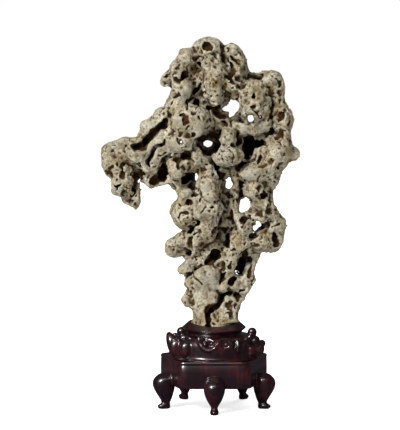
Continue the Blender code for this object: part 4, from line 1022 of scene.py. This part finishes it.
# The carving round it, as chains of (degrees round from the front, height, reach, half thickness).
CARVING = (
    # the horn and the ball on the left
    ((-78, 0.082, 0.06, 0.0056), (-80, 0.091, 0.0628, 0.0074), (-82, 0.099, 0.064, 0.0078),
     (-84, 0.105, 0.066, 0.0058), (-86, 0.1092, 0.068, 0.003)),
    ((-60, 0.1162, 0.056, 0.0072),), ((-66, 0.1105, 0.056, 0.0048), (-56, 0.11, 0.056, 0.005)),
    # the right's ball, swellings and knob
    ((73, 0.114, 0.0595, 0.007),), ((68, 0.107, 0.058, 0.005), (76, 0.107, 0.06, 0.005)),
    ((72, 0.08, 0.061, 0.0064), (76, 0.092, 0.064, 0.0072), (78, 0.102, 0.064, 0.0056)),
    ((82, 0.08, 0.061, 0.0052), (84, 0.09, 0.066, 0.0046), (83, 0.096, 0.0725, 0.0054)),
    # the back
    ((98, 0.082, 0.063, 0.004), (104, 0.09, 0.064, 0.0046), (108, 0.101, 0.0625, 0.005)),
    ((118, 0.105, 0.06, 0.0026), (126, 0.1, 0.0625, 0.003), (134, 0.09, 0.064, 0.0034),
     (146, 0.087, 0.0645, 0.003), (156, 0.091, 0.064, 0.0024)),
    ((140, 0.106, 0.059, 0.0055),), ((146, 0.097, 0.063, 0.0026),),
    ((160, 0.0975, 0.063, 0.0034), (158, 0.083, 0.0645, 0.003)),
    ((168, 0.09, 0.064, 0.0022), (170, 0.102, 0.062, 0.0028), (180, 0.105, 0.06, 0.0026),
     (190, 0.101, 0.062, 0.0026), (196, 0.093, 0.064, 0.0022)),
    ((182, 0.096, 0.0625, 0.0034),), ((206, 0.105, 0.06, 0.0052), (204, 0.09, 0.064, 0.003)),
    ((216, 0.081, 0.064, 0.004), (224, 0.088, 0.064, 0.0044), (228, 0.1, 0.0625, 0.005)),
    ((240, 0.104, 0.0605, 0.003), (248, 0.1, 0.0625, 0.0036), (256, 0.089, 0.0645, 0.0042)),
    ((262, 0.106, 0.059, 0.004),), ((248, 0.08, 0.065, 0.003), (262, 0.08, 0.065, 0.0034)),
)

# The carved hollows between them: degrees round, height, half width and half height.
CARVED_HOLLOWS = (
    (92, 0.097, 0.006, 0.0075), (116, 0.091, 0.0056, 0.0064), (126, 0.085, 0.0044, 0.004),
    (150, 0.1, 0.008, 0.0044), (164, 0.104, 0.0034, 0.004), (182, 0.09, 0.007, 0.0044),
    (188, 0.0985, 0.004, 0.004), (215, 0.096, 0.0056, 0.0064), (238, 0.092, 0.006, 0.007),
    (268, 0.095, 0.0046, 0.0076),
)
CARVED_HOLLOW_REACH = 0.0655
CARVED_HOLLOW_HALF_DEPTH = 0.0050

# How deep the front's lines and beads are sunk, as shares of their half width.
LINE_SINK = 0.45
BEAD_SINK = 0.1

# The front carving as seen from the front. Swellings, then hollows, as (column, row, half width, half
# height, half depth, tilt, sink), then raised lines of (column, row, half width) points, then beads.
FRONT_LOBES = (
    (176, 348, 7, 9.4, 5, 6, -0.4), (186.4, 349.6, 6.8, 8.4, 5, -4, 0.4),
    (200.4, 340.6, 3.6, 3.6, 3, 20, 0.6), (246, 340, 4.6, 3, 3, -20, 0.6),
    (254.6, 342.6, 5.4, 5.8, 4.4, 25, 0), (259.8, 349.4, 4.6, 6.4, 4.2, 10, 0),
    (250.2, 351, 4.6, 5.6, 4, 20, 0.6),
)
FRONT_HOLLOWS = (
    (209.2, 344.6, 5.8, 3.9, 3.4, 4, 0), (225, 345.6, 5, 3, 2.2, 0, 0),
    (234.4, 344.5, 1.4, 4.2, 2.8, 10, 0),
)
FRONT_LINES = (
    ((199.2, 338.2, 1.8), (199.6, 341.6, 2.4), (201.4, 346.2, 2.2), (204.6, 349.8, 2),
     (208.6, 351, 1.9), (212.8, 350, 1.6), (215.4, 348, 1.1)),
    ((202, 339.4, 1.6), (206, 339.4, 1.7), (210.5, 340.2, 1.5), (214, 342, 1)),
    ((217, 345.2, 1.1), (219.4, 341.8, 1.5), (224, 340.2, 1.8), (229, 341.2, 1.5), (232, 344.6, 1.1)),
    ((236.8, 339.6, 1.4), (238.6, 345, 1.9), (237.6, 351.4, 1.6)),
    ((239.8, 352, 1.2), (242.4, 347.4, 1.8), (246.2, 343.4, 1.4)),
    ((172.4, 340.6, 1.2), (177, 338, 1.9), (181.2, 339, 2), (185.6, 337.8, 1.8), (190.6, 338.8, 1)),
)
FRONT_BEADS = (
    (205.6, 344.8, 2.1), (211.6, 344.2, 1.7), (226.2, 345.4, 2), (220.6, 345.8, 1.2),
)

# The drum: a pentagon with rounded corners, rounder for a smaller number, and a thin raised lip round its
# top. Its side from the underside up, as heights and how far each is in from the greatest size.
SIDES = 5
DRUM_POINTS = 200
DRUM_ROUNDING = 18
DRUM_BOTTOM = 0.036
DRUM_TOP = 0.075
DRUM_PROFILE = (
    (DRUM_BOTTOM, 0.01),
    (DRUM_BOTTOM, 0.0022),
    (DRUM_BOTTOM + 0.0003, 0.0009),
    (DRUM_BOTTOM + 0.001, 0.0003),
    (DRUM_BOTTOM + 0.0022, 0),
    (DRUM_BOTTOM + 0.02, -0.0003),
    (DRUM_TOP - 0.0044, 0),
    (DRUM_TOP - 0.0036, 0.0008),
    (DRUM_TOP - 0.003, 0.0004),
    (DRUM_TOP - 0.0024, -0.0005),
    (DRUM_TOP - 0.0016, -0.0006),
    (DRUM_TOP + 0.0004, 0.0003),
    (DRUM_TOP + 0.0012, 0.001),
    (DRUM_TOP + 0.0013, 0.002),
    (DRUM_TOP + 0.0004, 0.0029),
    (DRUM_TOP + 0.0001, 0.0042),
    (DRUM_TOP + 0.0001, 0.02),
)

# A leg from the floor up: height, inner radius, outer radius and half width.
LEG_SECTIONS = (
    (0, 0.0704, 0.0858, 0.005), (0.0012, 0.0694, 0.0874, 0.006), (0.0035, 0.069, 0.0884, 0.0064),
    (0.0058, 0.0692, 0.0874, 0.006), (0.0078, 0.0694, 0.0838, 0.0051), (0.01, 0.0688, 0.0828, 0.005),
    (0.014, 0.067, 0.0843, 0.007), (0.0205, 0.065, 0.0884, 0.0108), (0.028, 0.063, 0.0928, 0.0138),
    (0.035, 0.0622, 0.0954, 0.0156), (0.041, 0.0622, 0.0954, 0.0158), (0.046, 0.063, 0.093, 0.0145),
    (0.05, 0.0642, 0.089, 0.0117), (0.0526, 0.065, 0.0845, 0.0088), (0.0538, 0.07, 0.079, 0.0044),
)
LEG_POINTS = 40
LEG_RINGS = 70
KNEE_ROWS = 200

# The bead along each knee: its points and steps, how far it stands off the knee and the drum's side, and
# how it thins towards its ends, as its least share and its gain at each step.
BEAD_POINTS = 10
BEAD_STEPS = 60
BEAD_STANDOFF = 0.5
BEAD_LIFT = 0.0006
BEAD_RISE = 0.0002
BEAD_TIP = 0.3
BEAD_GAIN = 0.15
LEG_NAMES = ("leg_front", "leg_right", "leg_back_right", "leg_back_left", "leg_left")


def smooth_rows(rows, count):
    """Spreads rows of numbers along a smooth curve through them, evenly by the first number."""
    rows = np.array(rows)
    places = np.linspace(0, len(rows) - 1, count)
    knots = np.minimum(places.astype(int), len(rows) - 2)
    t = (places - knots)[:, None]
    slopes = np.gradient(rows, axis=0)
    start, end = rows[knots], rows[knots + 1]
    run, after = slopes[knots], slopes[knots + 1]
    return (
        start * (2 * t**3 - 3 * t**2 + 1)
        + end * (3 * t**2 - 2 * t**3)
        + run * (t**3 - 2 * t**2 + t)
        + after * (t**3 - t**2)
    )


def turned_block():
    """The turned body of the carved top, with its socket."""
    block = Block(
        (AXIS_X - TOP_REACH, AXIS_Y - TOP_REACH, TOP_LOW - 3 * TOP_STEP),
        (AXIS_X + TOP_REACH, AXIS_Y + TOP_REACH, TOP_HIGH),
        TOP_STEP,
    )
    side = smooth_rows(TOP_PROFILE, 90)
    floor = SOCKET_FLOOR - FIT_GAP
    inner = ((SOCKET_FLOOR_RADIUS + FIT_GAP, floor), (COLLAR_TOP_RADIUS + FIT_GAP, COLLAR_TOP))
    outline = np.array([(-0.01, TOP_LOW), (-0.01, floor), *inner, *side, (side[-1][0], TOP_LOW)])
    radii = np.arange(0.0, TOP_TABLE_REACH, TOP_STEP / 2)
    table = distance_to_outline(outline, radii, block.row(2).ravel()).astype(np.float32)
    x, y, z = block.row(0) - AXIS_X, block.row(1) - AXIS_Y, block.row(2)
    place = np.hypot(x, y) / (TOP_STEP / 2)
    forwards = (-y / np.maximum(np.hypot(x, y), TOP_STEP)).clip(0.0, 1.0)
    rise = ((z - RIM_DROP_FROM) / (RIM_DROP_TO - RIM_DROP_FROM)).clip(0.0, 1.0)
    height = (z + RIM_DROP * forwards**2 * rise - block.low[2]) / TOP_STEP
    near = np.clip(height.astype(int), 0, table.shape[1] - 2)
    knot, share, up = place.astype(int), place - place.astype(int), (height - near).clip(0.0, 1.0)
    lower = table[knot, near] * (1 - share) + table[knot + 1, near] * share
    upper = table[knot, near + 1] * (1 - share) + table[knot + 1, near + 1] * share
    block.skin = (lower * (1 - up) + upper * up).astype(np.float32)
    return block


def make_carved_top(settings):
    """The stand's top: a turned collar and shoulder, carved all round with horns, balls and clouds."""
    block = turned_block()
    chains = []
    for points in CARVING:
        placed = [(*around(*point[:3]), point[3]) for point in points]
        chains += [ellipsoid(Vector(link[:3]), [link[3]] * 3) for link in along_curve(placed, CHAIN_SPACING)]
    block.add(chains, CARVING_FILLET)
    spaces = []
    for degrees, height, half_width, half_height in CARVED_HOLLOWS:
        turn = Matrix.Rotation(math.radians(degrees), 4, "Z")
        sizes = (half_width, CARVED_HOLLOW_HALF_DEPTH, half_height)
        spaces.append(ellipsoid(around(degrees, height, CARVED_HOLLOW_REACH), sizes, turn))
    block.cut(spaces, CARVED_ROUNDING)
    block.add([seen(block, *lobe) for lobe in FRONT_LOBES], LOBE_FILLET)
    block.cut([seen(block, *hollow) for hollow in FRONT_HOLLOWS], CARVED_ROUNDING)
    raised = [(points, LINE_SINK, LINE_FILLET) for points in FRONT_LINES]
    raised += [([bead], BEAD_SINK, BEAD_FILLET) for bead in FRONT_BEADS]
    for points, sink, fillet in raised:
        def ball(half):
            return half, half, half, 0.0, sink * half

        block.add(stroke(block, points, CHAIN_SPACING, ball), fillet)
    carved = np.maximum(np.maximum(block.skin, -socket_cup(block, FIT_GAP)), TOP_LOW - block.row(2))
    block.skin = carved.astype(np.float32)
    top = thinned_piece(block, "carved_top", "stand_top", TOP_TRIANGLES)
    finish(top, rosewood("carved_rosewood", settings, CARVED_GRAIN))


def drum_radius(degrees, apothem):
    """The drum's plan, a pentagon with rounded corners and a side to the front."""
    total = 0.0
    for side in range(SIDES):
        facing = math.cos(math.radians(degrees - side * 360.0 / SIDES))
        total += max(0.0, facing / apothem) ** DRUM_ROUNDING
    return total ** (-1.0 / DRUM_ROUNDING)


def add_tube(bm, rings):
    """Joins rings of equally many points into a tube with capped ends."""
    rows = [[bm.verts.new(point) for point in ring] for ring in rings]
    for lower, upper in zip(rows, rows[1:]):
        for here in range(len(lower)):
            there = (here + 1) % len(lower)
            bm.faces.new((lower[here], lower[there], upper[there], upper[here]))
    bm.faces.new(reversed(rows[0]))
    bm.faces.new(rows[-1])


def make_drum(settings):
    """The plain drum between the carved top and the legs, with a thin raised lip round its top."""
    bm = bmesh.new()
    turns = [360.0 * step / DRUM_POINTS for step in range(DRUM_POINTS)]
    add_tube(bm, [
        [around(turn, height, drum_radius(turn, settings.drum_apothem) - inset) for turn in turns]
        for height, inset in DRUM_PROFILE
    ])
    drum = new_piece("drum", mesh_of(bm, "drum"), "stand_drum")
    finish(drum, rosewood("planed_rosewood", settings, PLANED_GRAIN))


def leg_ring(section):
    """A level oval section of the front leg."""
    height, inner, outer, half_width = section
    middle = (inner + outer) / 2
    half_reach = (outer - inner) / 2
    points = []
    for step in range(LEG_POINTS):
        turn = math.tau * step / LEG_POINTS
        x = AXIS_X + half_width * math.cos(turn)
        points.append(Vector((x, AXIS_Y - middle + half_reach * math.sin(turn), height)))
    return points


def bead_rings(settings):
    """The thin raised bead that follows the knee's outline on the drum's side."""
    knee = [row for row in smooth_rows(LEG_SECTIONS, KNEE_ROWS) if row[0] > settings.bead_start]
    face = settings.drum_apothem
    path = []
    for height, inner, outer, half_width in knee:
        middle, half_reach = (inner + outer) / 2, (outer - inner) / 2
        share = max(0.0, 1.0 - ((face + BEAD_LIFT - middle) / half_reach) ** 2)
        path.append(Vector((half_width * math.sqrt(share), height)))
    path += [Vector((-point.x, point.y)) for point in reversed(path)]
    rings = []
    for number in range(BEAD_STEPS + 1):
        place = (len(path) - 1) * number / BEAD_STEPS
        near = min(int(place), len(path) - 2)
        point = path[near].lerp(path[near + 1], place - near)
        ahead = (path[min(near + 2, len(path) - 1)] - path[max(near - 1, 0)]).normalized()
        across = Vector((ahead.y, -ahead.x))
        from_end = min(number, BEAD_STEPS - number)
        radius = settings.bead_radius * min(1.0, BEAD_TIP + BEAD_GAIN * from_end)
        ring = []
        for step in range(BEAD_POINTS):
            turn = math.tau * step / BEAD_POINTS
            flat = point + across * (BEAD_STANDOFF * radius + radius * math.cos(turn))
            depth = AXIS_Y - face - BEAD_RISE - radius * math.sin(turn)
            ring.append(Vector((AXIS_X + flat.x, depth, flat.y)))
        rings.append(ring)
    return rings


def make_legs(settings):
    """Five equal cabriole legs, one in the middle of each side of the drum."""
    axis = Vector((AXIS_X, AXIS_Y, 0.0))
    wood = rosewood("shaped_rosewood", settings, SHAPED_GRAIN)
    for number, name in enumerate(LEG_NAMES):
        bm = bmesh.new()
        add_tube(bm, [leg_ring(row) for row in smooth_rows(LEG_SECTIONS, LEG_RINGS)])
        add_tube(bm, bead_rings(settings))
        bmesh.ops.recalc_face_normals(bm, faces=bm.faces)
        turn = Matrix.Rotation(number * math.tau / SIDES, 3, "Z")
        bmesh.ops.rotate(bm, cent=axis, matrix=turn, verts=bm.verts)
        finish(new_piece("stand_" + name, mesh_of(bm, name), name), wood)


def linear(colour):
    """The linear value of an sRGB hex colour."""
    parts = [int(colour[start:start + 2], 16) / 255 for start in (1, 3, 5)]
    return [part / 12.92 if part <= 0.04045 else ((part + 0.055) / 1.055) ** 2.4 for part in parts] + [1.0]


class Nodes:
    """The nodes of one material or of the surroundings, added one at a time."""

    def __init__(self, owner):
        self.owner = owner
        owner.use_nodes = True
        self.tree = owner.node_tree

    def feed(self, node, inputs):
        """Gives a node's inputs, named or numbered, values or links to other nodes' outputs."""
        for key, value in inputs.items():
            if isinstance(value, bpy.types.NodeSocket):
                self.tree.links.new(value, node.inputs[key])
            else:
                node.inputs[key].default_value = value

    def add(self, kind, inputs=None, output=0, **settings):
        """Adds a node with its settings and inputs, and gives one of its outputs."""
        node = self.tree.nodes.new("ShaderNode" + kind)
        for setting, value in settings.items():
            setattr(node, setting, value)
        self.feed(node, inputs or {})
        return node.outputs[output]

    def cloud(self, size, detail=3.0, roughness=0.6, offset=(0.0, 0.0, 0.0), stretch=(1.0, 1.0, 1.0)):
        """Clouds over the piece's own coordinates, with swells of about a size in metres."""
        place = self.add("TexCoord", output="Object")
        moved = self.add("Mapping", {"Vector": place, "Location": offset, "Scale": stretch})
        field = {"Vector": moved, "Scale": 1.0 / size, "Detail": detail, "Roughness": roughness}
        return self.add("TexNoise", field)


# How nodes that map a value smoothly, and that mix colours, are set.
SMOOTHLY = {"interpolation_type": "SMOOTHSTEP"}
COLOURS = {"data_type": "RGBA", "output": 2}

# How the grain's clouds are stretched on the carved top, the drum and the legs: it runs upright.
CARVED_GRAIN = (1.0, 1.0, 0.3)
PLANED_GRAIN = (1.0, 1.0, 0.15)
SHAPED_GRAIN = (1.0, 1.0, 0.25)

# What the limestone's finish follows: measures kept with its mesh.
STONE_MEASURES = ("hollow", "crease", "shelter", "smooth", "firm", "ochre")

# Layers of colour, each over those before it: what it follows, a measure or clouds of a size in metres, a
# detail, a roughness and an offset; the values between which it comes in; its shares of the colour there;
# a measure that the share is multiplied by, or None; and its colour.
STAINS = (
    ((0.020, 5.0, 0.7), 0.40, 0.62, 0.0, 1.0, None, "stone_mid"),
    ((0.040, 5.0, 0.7, (5.0, 3.0, 1.0)), 0.46, 0.68, 0.0, 0.6, None, "stone_ochre"),
    ((0.032, 4.0, 0.6, (1.0, 7.0, 2.0)), 0.54, 0.68, 0.0, 0.6, None, "stone_grey"),
    ("smooth", 0.0, 1.0, 0.0, 0.45, None, "stone_grey"),
    ((0.012, 3.0), 0.35, 0.65, 0.15, 0.75, "ochre", "stone_ochre"),
)
SOIL_AND_SHADE = (
    # specks of soil in the fine pits, and ridges paler, partly rubbed and partly painted light
    ((0.0042, 2.0, 0.5, (3.0, 1.0, 4.0)), 0.60, 0.70, 0.0, 0.75, "firm", "soil_and_shade_brown"),
    ("crease", 0.34, 0.47, 0.22, 0.0, None, "stone_rubbed_and_lit"),
    # brown soil and painted shade in the creases and shallow caves, old soil and painted shade nearly black
    # in the deepest
    ("crease", 0.48, 0.66, 0.0, 0.9, None, "soil_and_shade_brown"),
    ("deep", 0.22, 0.50, 0.0, 1.0, None, "soil_and_shade_brown"),
    ("shelter", 0.50, 0.65, 0.0, 0.9, None, "soil_and_shade_brown"),
    ("deep", 0.58, 1.05, 0.0, 1.0, None, "cave_soil_and_shade"),
    ("shelter", 0.64, 0.82, 0.0, 0.9, None, "cave_soil_and_shade"),
)


def layered(nodes, skin, measures, layers, colours):
    """Lays colours over a skin, as a table of layers says."""
    for follows, low, high, start, end, held_to, colour in layers:
        value = measures[follows] if follows in measures else nodes.cloud(*follows)
        share = nodes.add("MapRange", {0: value, 1: low, 2: high, 3: start, 4: end}, **SMOOTHLY)
        if held_to:
            share = nodes.add("Math", {0: measures[held_to], 1: share}, operation="MULTIPLY")
        skin = nodes.add("Mix", {0: share, 6: skin, 7: linear(getattr(colours, colour))}, **COLOURS)
    return skin


def limestone(colours):
    """Weathered limestone, dissolved by water and left with soil in its hollows.

    A dry, chalky, cream skin with no gloss, stained ochre and grey, paler on its ridges, partly rubbed and
    partly painted light, with brown soil and painted shade in its creases, and old soil and painted shade
    nearly black in its caves.
    """
    nodes = Nodes(bpy.data.materials.new("weathered_limestone"))
    measures = {name: nodes.add("Attribute", output="Fac", attribute_name=name) for name in STONE_MEASURES}
    # How deep each point lies in the hollows, made ragged, for the soil and painted shade there.
    ragged = {0: nodes.cloud(0.006), 1: 0.25, 2: measures["hollow"]}
    measures["deep"] = nodes.add("Math", ragged, operation="MULTIPLY_ADD")
    skin = layered(nodes, linear(colours.stone_pale), measures, STAINS, colours)
    # grains of 0.5 to 1 mm, drawn at 3 mm so that they show, and fainter on the smooth places
    grain = {0: nodes.cloud(0.0030, 4.0, 0.75), 1: 0.32, 2: 0.64, 3: -0.62, 4: 0.16}
    tone = {0: nodes.add("MapRange", grain, **SMOOTHLY), 1: measures["firm"], 2: 1.0}
    tone = nodes.add("Math", tone, operation="MULTIPLY_ADD")
    skin = nodes.add("Mix", {0: 1.0, 6: skin, 7: tone}, blend_type="MULTIPLY", **COLOURS)
    # Soil, with painted shade in the creases and sheltered hollows, and nearly black painted shade in the
    # caves.
    skin = layered(nodes, skin, measures, SOIL_AND_SHADE, colours)
    heights = {0: nodes.cloud(0.0012, 2.0), 1: 0.5, 2: nodes.cloud(0.0030, 4.0, 0.7)}
    height = nodes.add("Math", heights, operation="MULTIPLY_ADD")
    nodes.feed(nodes.tree.nodes["Principled BSDF"], {
        "Base Color": skin, "Roughness": 0.92, "Specular IOR Level": 0.15,
        "Normal": nodes.add("Bump", {"Strength": 0.8, "Distance": 0.0014, "Height": height}),
    })
    return nodes.owner


def rosewood(name, colours, grain_stretch):
    """Dark hardwood under a clear wax polish: nearly black, and red where light gets into it.

    The polish gives sharp white highlights over a soft dark body. The grain's pores and lines, a few
    tenths of a millimetre wide, are drawn 4 mm wide so that they show, and run where they are stretched.
    """
    nodes = Nodes(bpy.data.materials.new(name))
    grain = {0: nodes.cloud(0.0040, 4.0, 0.65, stretch=grain_stretch), 1: 0.25, 2: 0.85}
    patches = {0: nodes.cloud(0.024, 2.0), 1: 0.44, 2: 0.66, 3: 0.15}
    grain, patches = (nodes.add("MapRange", field, **SMOOTHLY) for field in (grain, patches))
    share = nodes.add("Math", {0: grain, 1: patches}, operation="MULTIPLY")
    body = {0: share, 6: linear(colours.wood_dark), 7: linear(colours.wood_red)}
    worn = {"Strength": 0.25, "Distance": 0.0006, "Height": nodes.cloud(0.0050, 3.0)}
    nodes.feed(nodes.tree.nodes["Principled BSDF"], {
        "Base Color": nodes.add("Mix", body, **COLOURS), "Roughness": 0.34, "Specular IOR Level": 0.4,
        "Coat Weight": 1.0, "Coat Roughness": 0.15, "Normal": nodes.add("Bump", worn),
    })
    return nodes.owner


def studio_paper(colours):
    """Matt pale studio paper: soft shadows and no shine.

    It is lit through from below for the eye only, so that its shadows stay faint, and is dim in the
    wood's polish.
    """
    nodes = Nodes(bpy.data.materials.new("studio_paper"))
    straight, mirrored = (nodes.add("LightPath", output=ray) for ray in ("Is Camera Ray", "Is Glossy Ray"))
    pale = linear(colours.floor_pale)
    patches = nodes.add("MapRange", {0: nodes.cloud(0.4, 2.0), 1: 0.3, 2: 0.7}, **SMOOTHLY)
    tone = nodes.add("Mix", {0: patches, 6: pale, 7: linear(colours.floor_shade)}, **COLOURS)
    tone = nodes.add("Mix", {0: mirrored, 6: tone, 7: linear(colours.floor_mirrored)}, **COLOURS)
    glow = nodes.add("Math", {0: straight, 1: colours.floor_glow}, operation="MULTIPLY")
    nodes.feed(nodes.tree.nodes["Principled BSDF"], {
        "Base Color": tone, "Roughness": 0.9, "Specular IOR Level": 0.2, "Emission Color": pale,
        "Emission Strength": glow,
    })
    return nodes.owner


FLOOR_HALF = 9.0
KEY_ANGLE = math.radians(14.0)

# The lights: place, the setting that the strength comes from and what else is set. The polish shows only
# the first three.
LIGHTS = {
    "key_light": ((-1.1, -1.5, 1.7), "key_strength", {"type": "SUN", "angle": KEY_ANGLE}),
    "soft_light": ((-1.3, -1.5, 1.3), "soft_power", {"shape": "DISK", "size": 0.7}),
    "strip_light": ((-0.1, -1.4, 1.6), "strip_power", {"shape": "ELLIPSE", "size": 0.9, "size_y": 0.2}),
    "fill_light": ((1.6, -1.6, 0.9), "fill_power", {"shape": "DISK", "size": 1.2}),
    "back_light": ((0.9, 1.9, 1.2), "back_power", {"shape": "DISK", "size": 1.4}),
}
UNMIRRORED_LIGHTS = ("fill_light", "back_light")


def make_surroundings(scene, settings):
    """White surroundings that give a weaker light to the piece, and a weaker one still to its polish."""
    scene.world = bpy.data.worlds.new("pale_surroundings")
    nodes = Nodes(scene.world)
    strength = settings.sky_strength
    for ray, level in (("Is Glossy Ray", settings.sky_shine), ("Is Camera Ray", 1.0)):
        strength = nodes.add("Mix", {0: nodes.add("LightPath", output=ray), 2: strength, 3: level})
    nodes.feed(nodes.tree.nodes["Background"], {"Color": (1.0, 1.0, 1.0, 1.0), "Strength": strength})


def place_in(scene, name, data, place):
    """Puts a light or the camera in the scene, turned towards the point looked at."""
    placed = bpy.data.objects.new(name, data)
    placed.location = place
    placed.rotation_euler = (AIM - Vector(place)).to_track_quat("-Z", "Y").to_euler()
    scene.collection.objects.link(placed)
    return placed


def make_stage(settings):
    """The floor, the soft lights, the pale surroundings and the camera."""
    scene = bpy.context.scene
    bm = bmesh.new()
    bmesh.ops.create_grid(bm, x_segments=1, y_segments=1, size=FLOOR_HALF)
    floor = bpy.data.objects.new("floor", mesh_of(bm, "floor"))
    scene.collection.objects.link(floor)
    floor.data.materials.append(studio_paper(settings))
    for name, (place, strength, details) in LIGHTS.items():
        details = dict(details)
        light = bpy.data.lights.new(name, details.pop("type", "AREA"))
        light.energy = getattr(settings, strength)
        for detail, value in details.items():
            setattr(light, detail, value)
        place_in(scene, name, light, place).visible_glossy = name not in UNMIRRORED_LIGHTS
    make_surroundings(scene, settings)
    scene.view_settings.view_transform = "Standard"
    lens = bpy.data.cameras.new("camera")
    lens.sensor_width = SENSOR
    lens.lens = SENSOR * FOCAL / max(PICTURE)
    lens.dof.use_dof = False
    scene.camera = place_in(scene, "camera", lens, EYE)


def length(name, description, default):
    """A length setting in metres."""
    return bpy.props.FloatProperty(
        name=name, description=description, default=default, min=0.0, precision=4, unit="LENGTH",
        subtype="DISTANCE",
    )


def amount(name, description, default):
    """A setting that is a strength, or a power in watts."""
    return bpy.props.FloatProperty(name=name, description=description, default=default, min=0.0)


def count(name, description, default):
    """A setting that is a whole number."""
    return bpy.props.IntProperty(name=name, description=description, default=default, min=0)


def colour(name, description, default):
    """A colour setting as an sRGB hex."""
    return bpy.props.StringProperty(name=name, description=description, default=default, maxlen=7)


class StoneSettings(bpy.types.PropertyGroup):
    grain: length("Grain", "Distance between the points that the stone is worked out on", 0.0010)
    triangles: count("Triangles", "Most triangles in the stone", 190000)
    scallops: count("Scallops", "How many shallow dents the skin has", 2200)
    knobs: count("Knobs", "How many small lumps the skin has", 1000)
    pits: count("Pits", "How many pits the skin has", 3600)
    stone_pale: colour("Pale", "The stone's clean skin, cream", "#B9B19B")
    # Paler on the sharp ridges: partly rubbed wear, partly painted light.
    stone_rubbed_and_lit: colour("Rubbed", "The stone's ridges", "#CEC7B2")
    stone_mid: colour("Middle", "The stone's duller skin", "#7F7459")
    stone_ochre: colour("Ochre", "Yellow stains", "#8B7545")
    stone_grey: colour("Grey", "Bluish grey stains and smooth places", "#908E82")
    # Brown soil, also used as painted shade in the creases and shallow caves.
    soil_and_shade_brown: colour("Brown", "Soil in the creases", "#3E2812")
    # Old soil and painted shade, nearly black, deep in the caves.
    cave_soil_and_shade: colour("Cave", "Old soil deep in the caves", "#0C0603")


class StandSettings(bpy.types.PropertyGroup):
    drum_apothem: length("Drum apothem", "From the stand's axis to the middle of the drum's side", 0.0705)
    bead_radius: length("Bead radius", "Half the thickness of the bead round each knee", 0.0012)
    bead_start: length("Bead start", "Height at which the bead round each knee starts", 0.0345)
    wood_dark: colour("Dark wood", "The wood's dark body", "#14070E")
    wood_red: colour("Red wood", "The wood's redder grain", "#4A1016")


class StageSettings(bpy.types.PropertyGroup):
    key_strength: amount("Key light", "Strength of the key light", 2.35)
    soft_power: amount("Soft light", "Power of the soft light, in watts", 22.0)
    strip_power: amount("Strip light", "Power of the strip light, in watts", 4.0)
    back_power: amount("Back light", "Power of the light behind, in watts", 26.0)
    fill_power: amount("Fill light", "Power of the fill light, in watts", 3.0)
    sky_strength: amount("Surroundings", "Light from all round", 0.24)
    sky_shine: amount("Shine", "Surroundings seen in the polish", 0.04)
    floor_glow: amount("Glow", "Light through the paper", 0.72)
    floor_pale: colour("Floor", "The floor's paper", "#FFFFFF")
    floor_shade: colour("Floor shade", "The floor's duller paper", "#FAFAFB")
    floor_mirrored: colour("Mirrored floor", "The floor as the polish shows it", "#38333D")


class BuildStone(bpy.types.Operator):
    """Build the weathered stone."""

    bl_idname = "scholars_rock.stone"
    bl_label = "Weathered Stone"

    def execute(self, context):
        make_stone(context.scene.scholars_rock_stone)
        return {"FINISHED"}


class BuildCarvedTop(bpy.types.Operator):
    """Build the stand's carved top."""

    bl_idname = "scholars_rock.carved_top"
    bl_label = "Carved Top"

    def execute(self, context):
        make_carved_top(context.scene.scholars_rock_stand)
        return {"FINISHED"}


class BuildDrum(bpy.types.Operator):
    """Build the stand's drum."""

    bl_idname = "scholars_rock.drum"
    bl_label = "Drum"

    def execute(self, context):
        make_drum(context.scene.scholars_rock_stand)
        return {"FINISHED"}


class BuildLegs(bpy.types.Operator):
    """Build the stand's five legs."""

    bl_idname = "scholars_rock.legs"
    bl_label = "Legs"

    def execute(self, context):
        make_legs(context.scene.scholars_rock_stand)
        return {"FINISHED"}


class BuildStage(bpy.types.Operator):
    """Build the floor, the lights and the camera."""

    bl_idname = "scholars_rock.stage"
    bl_label = "Stage"

    def execute(self, context):
        make_stage(context.scene.scholars_rock_stage)
        return {"FINISHED"}


OPERATORS = (BuildStone, BuildCarvedTop, BuildDrum, BuildLegs, BuildStage)
GROUPS = {
    "scholars_rock_stone": StoneSettings,
    "scholars_rock_stand": StandSettings,
    "scholars_rock_stage": StageSettings,
}


class RockPanel(bpy.types.Panel):
    """Lists the pieces to build and their settings."""

    bl_idname = "VIEW3D_PT_scholars_rock"
    bl_label = "Scholar's Rock"
    bl_space_type = "VIEW_3D"
    bl_region_type = "UI"
    bl_category = "Scholar's Rock"

    def draw(self, context):
        for operator in OPERATORS:
            self.layout.operator(operator.bl_idname)
        for name, group in GROUPS.items():
            box = self.layout.box()
            for setting in group.__annotations__:
                box.prop(getattr(context.scene, name), setting)


def register():
    for group in GROUPS.values():
        bpy.utils.register_class(group)
    for name, group in GROUPS.items():
        setattr(bpy.types.Scene, name, bpy.props.PointerProperty(type=group))
    for kind in (*OPERATORS, RockPanel):
        bpy.utils.register_class(kind)


def unregister():
    for kind in reversed((*OPERATORS, RockPanel)):
        bpy.utils.unregister_class(kind)
    for name in GROUPS:
        delattr(bpy.types.Scene, name)
    for group in GROUPS.values():
        bpy.utils.unregister_class(group)


def main():
    register()
    for operator in OPERATORS:
        area, name = operator.bl_idname.split(".")
        getattr(getattr(bpy.ops, area), name)()


if __name__ == "__main__":
    main()
